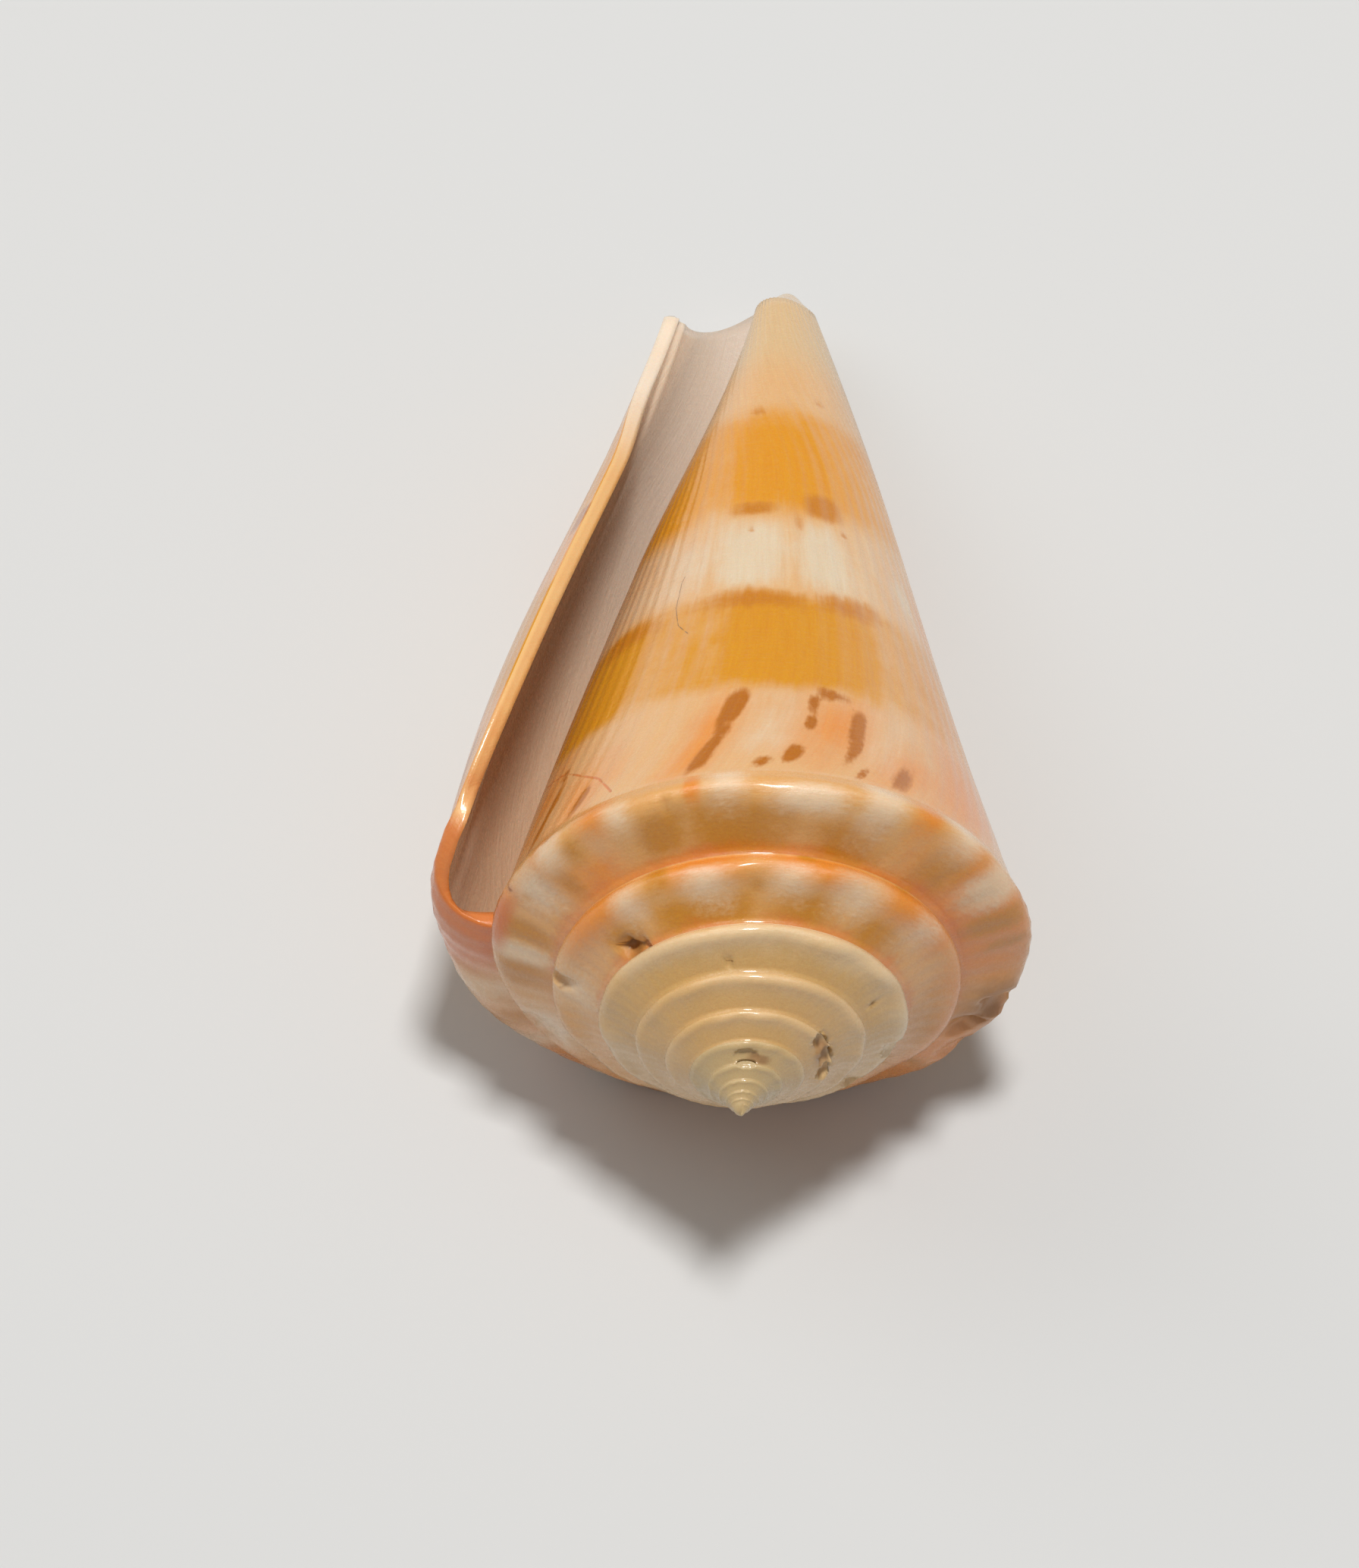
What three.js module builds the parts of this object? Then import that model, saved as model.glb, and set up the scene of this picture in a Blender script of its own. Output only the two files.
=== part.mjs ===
// Shell of a cone snail, Conus vikingorum: one wall coiled around an axis, in millimetres.
//
// The shell is worked out about its own axis. A point has a turn, counted back from the outer lip,
// a radius from the axis and a depth below the apex. The finished body is laid on its side,
// spire toward -Y and front end toward +Y, so that the aperture looks up and to the left.
import * as THREE from "three";

// Coil: how each turn shrinks toward the apex
const SHOULDER_RADIUS = 8.76;
const GROWTH_PER_TURN = 0.291;
const LIP_FLARE = 0.068;
const LIP_FLARE_TURNS = 0.35;
const TURNS = 8.7;
const LIP_AZIMUTH = 178;

// Spire: how deep each shoulder lies, and how high each turn stands over the one outside it
const APEX_RADIUS = 0.32;
const SPIRE_SLOPE = 0.825;
const SPIRE_DOME = 0.124;
const STEP_SHARE = 0.059;
const LATE_STEP_SHARE = 0.075;
const LATE_STEP_TURN = 2.9;
const LATE_STEP_TURNS = 1.3;
const APEX_CROWN = 0.12;

// Shoulder: how far the edge of each turn is rounded, as a share of its radius
const EARLY_ROUNDING = 0.05;
const ROUNDING = 0.085;
const LIP_ROUNDING = 0.07;
const ROUNDING_HEIGHT = 0.82;
const RAMP_TAPER = 0.3;

// Side: a long cone with a slight belly that narrows onto the columella
const TAPER = 0.266;
const LIP_BELLY = 0.03;
const BODY_BELLY = -0.016;
const SIDE_WAVE = 0.014;
const LIP_WAVE = 0.018;
const COLUMELLA_RADIUS = 0.3;
const COLUMELLA_BLEND = 0.28;
const COLUMELLA_BEND = 0.95;
const COLUMELLA_BEND_DEPTH = 17.5;
const COLUMELLA_BEND_LENGTH = 12;
const TIP_DEPTH = 29.6;
const TIP_RADIUS = 0.58;
const TIP_LENGTH = 1.5;
const FRONT_DEPTH = 28.3;
const FRONT_BULGE = 1.4;

// Lip and wall
const LIP_WALL = 0.45;
const WALL_GAIN = 0.5;
const WALL_GAIN_TURNS = 0.25;
const HIDDEN_WALL = 0.52;
const LIP_SET_BACK = -34;
const LIP_FRONT_SWEEP = 30;
const LIP_SET_BACK_SPREAD = 0.14;
const LIP_SHOULDER_DROP = 1;
const LIP_REACH = 0.5;
const CAVITY_TURNS = 0.58;
const FRONT_EDGE_CROWN = 0.12;

// Rest: the shell lies on its long side, on a small worn flat
const REST_TILT = 14.5;
const FLAT_DEPTH = 0.32;

// Facets along a turn, across the spire face of a turn, down its side and around the tip
const SEGMENTS_PER_TURN = 48;
const RAMP_SEGMENTS = 2;
const ROUNDING_SEGMENTS = 2;
const SIDE_SEGMENTS = 8;
const EDGE_SEGMENTS = 2;
const TIP_RINGS = 3;

const FULL_TURN = 2 * Math.PI;
const SPIRE_COLUMNS = RAMP_SEGMENTS + ROUNDING_SEGMENTS + 1;
const LIP_COLUMNS = SPIRE_COLUMNS + SIDE_SEGMENTS;
const TURN_ROWS = Math.round(TURNS * SEGMENTS_PER_TURN);
const CAVITY_ROWS = Math.round(CAVITY_TURNS * SEGMENTS_PER_TURN);
const WALL_ROWS = SEGMENTS_PER_TURN + CAVITY_ROWS;

const { clamp, lerp, smoothstep, degToRad } = THREE.MathUtils;

function turnRadius(turn) {
  const flare = LIP_FLARE * (1 - Math.exp(-Math.max(turn, -0.3) / LIP_FLARE_TURNS));
  return SHOULDER_RADIUS * Math.exp(flare - GROWTH_PER_TURN * turn);
}

function shoulderDepth(turn) {
  const radius = turnRadius(turn);
  return SPIRE_SLOPE * (radius - APEX_RADIUS) - (SPIRE_DOME * radius * radius) / SHOULDER_RADIUS;
}

// How far the wall of a turn shows above the turn outside it.
function stepHeight(turn) {
  const late = smoothstep(LATE_STEP_TURN - turn, 0, LATE_STEP_TURNS);
  return turnRadius(turn) * (STEP_SHARE + LATE_STEP_SHARE * late);
}

// Depth of the front end, deepest on the far side of the last turn.
function frontDepth(turn) {
  const across = clamp((turn + 0.06) / 0.7, 0, 1);
  return FRONT_DEPTH + FRONT_BULGE * Math.sin(Math.PI * across) ** 2;
}

// Wall thickness, thin at the lip and stronger behind it.
function wallThickness(turn) {
  return LIP_WALL + WALL_GAIN * smoothstep(turn, 0, WALL_GAIN_TURNS);
}

// Radius of the side wall: a cone with a belly and a wave, eased onto the columella.
function sideRadius(turn, depth) {
  const top = shoulderDepth(turn);
  const down = clamp((depth - top) / (TIP_DEPTH - top), 0, 1);
  const late = clamp(turn, 0, 1);
  const belly = lerp(LIP_BELLY, BODY_BELLY, smoothstep(late, 0, 1)) * Math.sin(Math.PI * down);
  const waveSize = SIDE_WAVE * Math.cos(FULL_TURN * late) + LIP_WAVE * Math.exp(-late / 0.15);
  const wave = waveSize * Math.sin(FULL_TURN * down);
  const cone = turnRadius(turn) - TAPER * (depth - top) + SHOULDER_RADIUS * (belly + wave);
  return 0.5 * (cone + COLUMELLA_RADIUS + Math.hypot(cone - COLUMELLA_RADIUS, COLUMELLA_BLEND));
}

// The suture that the next turn grows from, as (radius, depth). Past the first turn it closes on the apex.
function suture(turn) {
  const grown = Math.min(turn, TURNS);
  const drop = LIP_SHOULDER_DROP * (1 - smoothstep(grown, 0, 0.5));
  const depth = shoulderDepth(grown) + stepHeight(grown) + drop;
  const early = turnRadius(grown) * 0.99 - TAPER * stepHeight(grown);
  const radius = grown > 4 ? early : sideRadius(grown, depth);
  const open = 1 - clamp(turn - TURNS, 0, 1);
  return new THREE.Vector2(radius * open, lerp(-APEX_CROWN, depth, open * open));
}

// Cross-section of a turn as (radius, depth): ramp, rounded shoulder and the top of the side wall.
// An inset draws it inside the wall, from a given start.
function spireProfile(turn, inset = 0, start = suture(turn + 1)) {
  const radius = turnRadius(turn);
  const late = smoothstep(3 - turn, 0, 1.5);
  const share = lerp(EARLY_ROUNDING, ROUNDING, late) + LIP_ROUNDING * (1 - smoothstep(turn, 0, 0.25));
  const across = inset > 0 ? 0.05 * radius : share * radius;
  const along = inset > 0 ? across : across * ROUNDING_HEIGHT;
  const depth = shoulderDepth(turn) + 0.9 * inset;
  const edge = new THREE.Vector2(radius - 0.25 * TAPER * along - inset, depth + along);
  const shoulder = new THREE.Vector2(edge.x - across, depth);
  const innerDepth = depth + stepHeight(turn);
  const innerEnd = new THREE.Vector2(sideRadius(turn, innerDepth - 0.9 * inset) - inset, innerDepth);
  const end = inset > 0 ? innerEnd : suture(turn);
  const width = Math.max(shoulder.x - start.x, 0);
  const fall = end.y - edge.y;
  const ramp = new THREE.CubicBezierCurve(
    start,
    start.clone().lerp(shoulder, 1 / 3),
    new THREE.Vector2(shoulder.x - width / 3, shoulder.y - (RAMP_TAPER * width) / 3),
    shoulder,
  );
  const rounding = new THREE.CubicBezierCurve(
    shoulder,
    new THREE.Vector2(shoulder.x + 0.55 * across, shoulder.y + RAMP_TAPER * 0.55 * across),
    new THREE.Vector2(edge.x, edge.y - 0.55 * along),
    edge,
  );
  const side = new THREE.CubicBezierCurve(
    edge,
    new THREE.Vector2(edge.x, edge.y + 0.4 * fall),
    new THREE.Vector2(end.x + TAPER * 0.4 * fall, end.y - 0.4 * fall),
    end,
  );
  return [
    ...ramp.getPoints(RAMP_SEGMENTS),
    ...rounding.getPoints(ROUNDING_SEGMENTS).slice(1),
    ...side.getPoints(1).slice(1),
  ];
}

// Turns by which each station down the lip leads the suture. The lead fades out behind the lip.
function lipLead(column, turn) {
  const down = (column - SPIRE_COLUMNS) / SIDE_SEGMENTS;
  const across = column / SPIRE_COLUMNS;
  const onSpire = LIP_SET_BACK * 0.5 * smoothstep(across, 0.3, 1);
  const recess = LIP_SET_BACK * (1 - 0.5 * Math.exp(-down / LIP_SET_BACK_SPREAD));
  const onSide = recess + LIP_FRONT_SWEEP * smoothstep(down, 0.6, 1);
  const fade = clamp(1 - turn / LIP_REACH, 0, 1) ** 2;
  return ((down < 0 ? onSpire : onSide) / 360) * fade;
}

// Point list and triangle list that every sheet of the body is added to.
const points = [];
const triangles = [];

function addPoint(turn, radius, depth) {
  const angle = degToRad(LIP_AZIMUTH) + FULL_TURN * turn;
  const low = smoothstep(depth, COLUMELLA_BEND_DEPTH, COLUMELLA_BEND_DEPTH + COLUMELLA_BEND_LENGTH);
  const bend = COLUMELLA_BEND * low * smoothstep(turn, 0.55, 1.05);
  return points.push(new THREE.Vector3(radius * Math.cos(angle) + bend, radius * Math.sin(angle), -depth)) - 1;
}

function addBetween(from, to, share, crown = 0) {
  const middle = points[from].clone().lerp(points[to], share);
  middle.z -= crown * Math.sin(Math.PI * share);
  return points.push(middle) - 1;
}

function makeGrid(rows, columns, pointAt) {
  return Array.from({ length: rows }, (_, row) =>
    Array.from({ length: columns }, (__, column) => pointAt(row, column)));
}

function addTriangle(a, b, c) {
  if (a !== b && b !== c && a !== c) triangles.push(a, b, c);
}

// Two triangles in each cell of a grid of point indices.
function addSheet(grid, facesInward = false) {
  for (let row = 0; row + 1 < grid.length; row += 1) {
    for (let column = 0; column + 1 < grid[row].length; column += 1) {
      const [a, d] = [grid[row][column], grid[row][column + 1]];
      const [b, c] = [grid[row + 1][column], grid[row + 1][column + 1]];
      if (facesInward) {
        addTriangle(a, b, c);
        addTriangle(a, c, d);
      } else {
        addTriangle(c, b, a);
        addTriangle(d, c, a);
      }
    }
  }
}

// Spire: one long strip wound over every turn, sharing each suture with the turn inside it
function buildSpire() {
  const sutures = Array.from({ length: TURN_ROWS + SEGMENTS_PER_TURN + 1 }, (_, row) => {
    const turn = row / SEGMENTS_PER_TURN;
    const place = turn + lipLead(SPIRE_COLUMNS, turn);
    const { x: radius, y: depth } = suture(place);
    return addPoint(place, radius, depth);
  });
  const strip = makeGrid(TURN_ROWS + 1, SPIRE_COLUMNS + 1, (row, column) => {
    if (column === 0) return sutures[row + SEGMENTS_PER_TURN];
    if (column === SPIRE_COLUMNS) return sutures[row];
    const turn = row / SEGMENTS_PER_TURN;
    const place = turn + lipLead(column, turn);
    const { x: radius, y: depth } = spireProfile(place)[column];
    return addPoint(place, radius, depth);
  });
  addSheet(strip);
  const apex = sutures[TURN_ROWS + SEGMENTS_PER_TURN];
  for (let column = 0; column < SPIRE_COLUMNS; column += 1) {
    addTriangle(sutures[TURN_ROWS + 1], strip[TURN_ROWS][column], strip[TURN_ROWS][column + 1]);
  }
  for (let row = TURN_ROWS + 1; row < TURN_ROWS + SEGMENTS_PER_TURN - 1; row += 1) {
    addTriangle(apex, sutures[row], sutures[row + 1]);
  }
  return { sutures, strip };
}

// Depth of each station down the side wall. The first few lie behind the wall of the next turn.
function sideDepth(turn, station) {
  const top = suture(turn).y;
  if (station <= EDGE_SEGMENTS) return top + (HIDDEN_WALL * station) / EDGE_SEGMENTS;
  const share = (station - EDGE_SEGMENTS) / (SIDE_SEGMENTS - EDGE_SEGMENTS);
  return lerp(top + HIDDEN_WALL, frontDepth(turn), share);
}

// Side of the last turn, and on behind the lip as the columella side of the aperture
function buildSide(sutures) {
  const side = makeGrid(WALL_ROWS + 1, SIDE_SEGMENTS + 1, (row, station) => {
    if (station === 0) return sutures[row];
    const turn = row / SEGMENTS_PER_TURN;
    const place = turn + lipLead(SPIRE_COLUMNS + station, turn);
    const depth = sideDepth(place, station);
    return addPoint(place, sideRadius(place, depth), depth);
  });
  addSheet(side.slice(0, SEGMENTS_PER_TURN + 1));
  addSheet(side.slice(SEGMENTS_PER_TURN).map((row) => row.slice(EDGE_SEGMENTS)));
  return side;
}

// A station on the inside, as (radius, depth): the outer form less the thickness of the wall
function insidePoint(turn, column) {
  const wall = wallThickness(turn);
  if (column <= SPIRE_COLUMNS) {
    const startDepth = suture(turn + 1).y + HIDDEN_WALL;
    const start = new THREE.Vector2(sideRadius(turn + 1, startDepth), startDepth);
    return spireProfile(turn, wall, start)[column];
  }
  const outerTop = shoulderDepth(turn) + stepHeight(turn);
  const front = frontDepth(turn);
  const share = (sideDepth(turn, column - SPIRE_COLUMNS) - outerTop) / (front - outerTop);
  const depth = lerp(outerTop + 0.9 * wall, front, share);
  return new THREE.Vector2(sideRadius(turn, depth) - wall, depth);
}

// Inside of the last turn, drawing in to meet the turn before it at the back of the aperture
function buildInside(side) {
  const inside = makeGrid(CAVITY_ROWS + 1, LIP_COLUMNS + 1, (row, column) => {
    if (column === 0) return side[SEGMENTS_PER_TURN + row][EDGE_SEGMENTS];
    const turn = row / SEGMENTS_PER_TURN;
    const place = turn + lipLead(column, turn);
    const closing = 0.94 * clamp((turn / CAVITY_TURNS - 0.45) / 0.55, 0, 1) ** 2;
    const { x: radius, y: depth } = insidePoint(place, column);
    return addPoint(place, lerp(radius, sideRadius(place + 1, depth) + 0.03, closing), depth);
  });
  addSheet(inside, true);
  return inside;
}

// Edge of the outer lip, from the suture round the shoulder to the front end
function buildLipEdge(strip, side, inside) {
  const outer = [...strip[0], ...side[0].slice(1)];
  const edge = makeGrid(LIP_COLUMNS + 1, EDGE_SEGMENTS + 1, (column, step) => {
    if (step === 0) return outer[column];
    if (step === EDGE_SEGMENTS) return inside[0][column];
    if (column === 0) return side[SEGMENTS_PER_TURN][step];
    return addBetween(outer[column], inside[0][column], step / EDGE_SEGMENTS);
  });
  addSheet(edge);
  return edge;
}

// Edge of the siphonal notch at the front end
function buildFrontEdge(side, inside, lipEdge) {
  const edge = makeGrid(CAVITY_ROWS + 1, EDGE_SEGMENTS + 1, (row, step) => {
    if (row === 0) return lipEdge[LIP_COLUMNS][step];
    const [outer, inner] = [side[row][SIDE_SEGMENTS], inside[row][LIP_COLUMNS]];
    if (step === 0) return outer;
    if (step === EDGE_SEGMENTS) return inner;
    return addBetween(outer, inner, step / EDGE_SEGMENTS, FRONT_EDGE_CROWN);
  });
  addSheet(edge);
  return edge;
}

// Back of the aperture, where the inside meets the columella side from the top down
function closeAperture(side, inside) {
  const left = inside[CAVITY_ROWS];
  const right = side[WALL_ROWS].slice(EDGE_SEGMENTS);
  let [i, j] = [0, 0];
  while (i < left.length - 1 || j < right.length - 1) {
    const leftIsHigher = i < left.length - 1 && points[left[i + 1]].z >= points[right[j + 1]]?.z;
    if (j === right.length - 1 || leftIsHigher) {
      addTriangle(right[j], left[i + 1], left[i]);
      i += 1;
    } else {
      addTriangle(right[j], right[j + 1], left[i]);
      j += 1;
    }
  }
}

// Rounded front tip of the columella, in rings that shrink from the open end of the body
function closeTip(side, frontEdge) {
  const around = side.slice(CAVITY_ROWS).map((row) => row[SIDE_SEGMENTS]);
  let ring = [...around, ...frontEdge[CAVITY_ROWS].slice(1).reverse()];
  const start = ring.map((index) => {
    const { x, y, z } = points[index];
    return { angle: Math.atan2(y, x - COLUMELLA_BEND), radius: Math.hypot(x - COLUMELLA_BEND, y), depth: -z };
  });
  const tipRadius = (depth) => {
    const share = clamp((depth - TIP_DEPTH + TIP_LENGTH) / TIP_LENGTH, 0, 1);
    return TIP_RADIUS * Math.sqrt(1 - share * share);
  };
  for (let step = 1; step <= TIP_RINGS; step += 1) {
    const share = step / (TIP_RINGS + 1);
    const next = start.map(({ angle, radius, depth }) => {
      const low = lerp(depth, TIP_DEPTH, Math.sin((share * Math.PI) / 2));
      const reach = tipRadius(low) + (radius - tipRadius(depth)) * (1 - share) ** 3;
      const point = new THREE.Vector3(COLUMELLA_BEND + reach * Math.cos(angle), reach * Math.sin(angle), -low);
      return points.push(point) - 1;
    });
    addSheet([[...next, next[0]], [...ring, ring[0]]]);
    ring = next;
  }
  const tip = points.push(new THREE.Vector3(COLUMELLA_BEND, 0, -TIP_DEPTH)) - 1;
  ring.forEach((index, k) => addTriangle(tip, ring[(k + 1) % ring.length], index));
}

function buildBody() {
  const { sutures, strip } = buildSpire();
  const side = buildSide(sutures);
  const inside = buildInside(side);
  const lipEdge = buildLipEdge(strip, side, inside);
  const frontEdge = buildFrontEdge(side, inside, lipEdge);
  closeAperture(side, inside);
  closeTip(side, frontEdge);
}

// Lays the body down on its long side, wears the flat that it rests on and centres it over the origin.
function layDown(geometry) {
  geometry.rotateX(degToRad(90 - REST_TILT));
  geometry.computeBoundingBox();
  const { min, max } = geometry.boundingBox;
  geometry.translate(-(min.x + max.x) / 2, -(min.y + max.y) / 2, -min.z - FLAT_DEPTH);
  const position = geometry.getAttribute("position");
  for (let index = 0; index < position.count; index += 1) {
    position.setZ(index, Math.max(position.getZ(index), 0));
  }
}

function shellMaterial() {
  return new THREE.MeshStandardMaterial({ color: 0xd9a871, roughness: 0.42, metalness: 0 });
}

buildBody();
const geometry = new THREE.BufferGeometry().setFromPoints(points);
geometry.setIndex(triangles);
layDown(geometry);
geometry.computeVertexNormals();

const shell = new THREE.Mesh(geometry, shellMaterial());
shell.name = "shell";

const group = new THREE.Group();
group.add(shell);

export default group;
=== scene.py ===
"""Looks of a worn cone snail shell, Conus vikingorum, lying on its side on a pale floor.

The shell is one surface, worked out from how it grew: a profile carried back from the outer lip around an
axis, smaller by the same share each turn. Every shape is a numpy array over two parameters: the turn,
counted back from the lip, and a station across the wall. The marks on it are fields over the same two
parameters, and the material gives them their colours and edges. Lengths are in millimetres until they go
into a mesh, which is in metres.
"""

from __future__ import annotations

import logging
import math
from dataclasses import dataclass, field
from enum import Enum, IntEnum

import bpy
import numpy as np
from mathutils import Matrix, Vector

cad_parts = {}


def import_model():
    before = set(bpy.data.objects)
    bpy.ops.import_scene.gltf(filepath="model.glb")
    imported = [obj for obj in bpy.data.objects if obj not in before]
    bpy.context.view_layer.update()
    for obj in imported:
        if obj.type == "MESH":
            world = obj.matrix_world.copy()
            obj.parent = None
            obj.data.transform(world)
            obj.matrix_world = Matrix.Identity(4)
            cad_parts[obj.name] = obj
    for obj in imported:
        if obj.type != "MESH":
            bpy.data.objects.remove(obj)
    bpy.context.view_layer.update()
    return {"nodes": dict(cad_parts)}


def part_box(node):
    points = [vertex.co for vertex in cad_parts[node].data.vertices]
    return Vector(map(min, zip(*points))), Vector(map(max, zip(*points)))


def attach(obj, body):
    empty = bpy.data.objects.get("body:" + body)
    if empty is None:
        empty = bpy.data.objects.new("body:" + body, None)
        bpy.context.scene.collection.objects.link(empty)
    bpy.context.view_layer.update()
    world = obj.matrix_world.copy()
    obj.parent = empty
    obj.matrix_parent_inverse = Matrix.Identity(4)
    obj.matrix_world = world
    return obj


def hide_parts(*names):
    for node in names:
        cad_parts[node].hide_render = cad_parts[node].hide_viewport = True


Array = np.ndarray

log = logging.getLogger("shell")

FULL_TURN = 2 * math.pi
MILLIMETRE = 0.001
CIRCLE_HANDLE = 0.55
WALL_HANDLE = 0.4
FRONT_END = 4.0
TIP_TURN = 1.5


class Region(IntEnum):
    """Where a part of the wall is."""

    SPIRE = 0
    SIDE = 1
    INSIDE = 2
    EDGE = 3
    TIP = 4


def ease(value: Array, low: float = 0.0, high: float = 1.0) -> Array:
    """Smooth step: 3x² - 2x³, where x is how far a value has gone from low to high, held to 0 and 1."""
    x = np.clip((np.asarray(value, float) - low) / (high - low), 0.0, 1.0)
    return x * x * (3 - 2 * x)


def blend(start: Array, end: Array, share: Array) -> Array:
    """A straight mix: start at share 0 and end at share 1."""
    return start + (end - start) * share


def pair(radius: Array, depth: Array) -> Array:
    """Radii and depths side by side in a last axis of two."""
    return np.stack(np.broadcast_arrays(radius, depth), -1)


def bezier(points: tuple[Array, Array, Array, Array], share: Array) -> Array:
    """Cubic curve: the four points weighted by (1-s)³, 3(1-s)²s, 3(1-s)s² and s³.

    Args:
        points: start, two handles and end, each with a last axis of two.
        share: how far along the curve, without that last axis.

    Returns:
        Points on the curve.
    """
    s = share[..., None]
    start, first, second, end = points
    return (1 - s) ** 3 * start + 3 * (1 - s) ** 2 * s * first + 3 * (1 - s) * s**2 * second + s**3 * end


@dataclass(frozen=True)
class GrowthLaw:
    """The shell's form about its own axis, in millimetres: radius from the axis and depth below the apex."""

    shoulder_radius: float = 8.76
    growth_per_turn: float = 0.291
    lip_flare: float = 0.068
    lip_flare_turns: float = 0.35
    first_turn: float = -0.3
    turns: float = 10.7
    lip_azimuth: float = 178.0
    apex_radius: float = 0.32
    spire_slope: float = 0.825
    spire_dome: float = 0.124
    step_share: float = 0.082
    late_step_share: float = 0.052
    late_step_turn: float = 2.9
    late_step_turns: float = 1.3
    apex_crown: float = 0.12
    early_suture: float = 0.99
    early_suture_turn: float = 4.0
    early_rounding: float = 0.065
    early_turn: float = 3.0
    late_turn: float = 1.5
    rounding: float = 0.085
    lip_rounding: float = 0.07
    inside_rounding: float = 0.05
    rounding_height: float = 0.82
    ramp_taper: float = 0.3
    taper: float = 0.266
    lip_belly: float = 0.03
    body_belly: float = -0.016
    side_wave: float = 0.014
    lip_wave: float = 0.018
    lip_wave_turns: float = 0.15
    columella_radius: float = 0.3
    columella_blend: float = 0.28
    columella_bend: float = 0.95
    columella_bend_depth: float = 17.5
    columella_bend_length: float = 12.0
    tip_depth: float = 29.6
    tip_radius: float = 0.58
    tip_length: float = 1.5
    front_depth_at_lip: float = 28.3
    front_bulge: float = 1.4
    bulge_start: float = -0.06
    bulge_turns: float = 0.7
    inset_drop: float = 0.9
    lip_wall: float = 0.45
    wall_gain: float = 0.5
    wall_gain_turns: float = 0.25
    lip_bevel: float = 0.16
    lip_bevel_turns: float = 0.016
    hidden_wall: float = 0.52
    lip_set_back: float = -34.0
    lip_front_sweep: float = 30.0
    lip_set_back_spread: float = 0.14
    lip_shoulder_drop: float = 1.0
    lip_reach: float = 0.5
    cavity_turns: float = 0.58

    def turn_radius(self, turn: Array) -> Array:
        """Shoulder radius: it falls by a fixed share each turn, with a small flare toward the lip."""
        flare = self.lip_flare * (1 - np.exp(-np.maximum(turn, self.first_turn) / self.lip_flare_turns))
        return self.shoulder_radius * np.exp(flare - self.growth_per_turn * turn)

    def shoulder_depth(self, turn: Array) -> Array:
        """Depth of the shoulder: proportional to its radius, less a square term that domes the spire.

        Args:
            turn: turns back from the lip.

        Returns:
            Depths in millimetres.
        """
        radius = self.turn_radius(turn)
        dome = self.spire_dome * radius**2 / self.shoulder_radius
        return self.spire_slope * (radius - self.apex_radius) - dome

    def step_height(self, turn: Array) -> Array:
        """How far the wall of a turn shows above the turn outside it: a share of its radius."""
        late = ease(self.late_step_turn - turn, 0, self.late_step_turns)
        return self.turn_radius(turn) * (self.step_share + self.late_step_share * late)

    def front_depth(self, turn: Array) -> Array:
        """Depth of the front end: a squared sine hump, deepest on the far side of the last turn."""
        across = np.clip((turn - self.bulge_start) / self.bulge_turns, 0, 1)
        return self.front_depth_at_lip + self.front_bulge * np.sin(math.pi * across) ** 2

    def wall_thickness(self, turn: Array) -> Array:
        """Thickness of the wall: thin at the lip, and stronger behind it by two smooth steps."""
        bevel = self.lip_bevel * ease(turn, 0, self.lip_bevel_turns)
        return self.lip_wall + bevel + self.wall_gain * ease(turn, 0, self.wall_gain_turns)

    def side_radius(self, turn: Array, depth: Array) -> Array:
        """Radius of the side wall: a straight cone, plus half a sine for the belly and a whole one for the
        wave, joined to the columella by half the sum and the rounded difference of the two radii.

        Args:
            turn: turns back from the lip.
            depth: depth below the apex.

        Returns:
            Radii in millimetres.
        """
        top = self.shoulder_depth(turn)
        down = np.clip((depth - top) / (self.tip_depth - top), 0, 1)
        late = np.clip(turn, 0, 1)
        belly = blend(self.lip_belly, self.body_belly, ease(late)) * np.sin(math.pi * down)
        lip_wave = self.lip_wave * np.exp(-late / self.lip_wave_turns)
        wave_size = self.side_wave * np.cos(FULL_TURN * late) + lip_wave
        wave = wave_size * np.sin(FULL_TURN * down)
        cone = self.turn_radius(turn) - self.taper * (depth - top) + self.shoulder_radius * (belly + wave)
        core = self.columella_radius
        return 0.5 * (cone + core + np.hypot(cone - core, self.columella_blend))

    def suture(self, turn: Array) -> Array:
        """The line that the next turn grows from. Past the first turn it closes on the apex.

        Args:
            turn: turns back from the lip.

        Returns:
            Radii and depths in a last axis of two.
        """
        grown = np.minimum(turn, self.turns)
        drop = self.lip_shoulder_drop * (1 - ease(grown, 0, 0.5))
        depth = self.shoulder_depth(grown) + self.step_height(grown) + drop
        early = self.turn_radius(grown) * self.early_suture - self.taper * self.step_height(grown)
        radius = np.where(grown > self.early_suture_turn, early, self.side_radius(grown, depth))
        is_open = 1 - np.clip(turn - self.turns, 0, 1)
        return pair(radius * is_open, blend(-self.apex_crown, depth, is_open**2))

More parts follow.
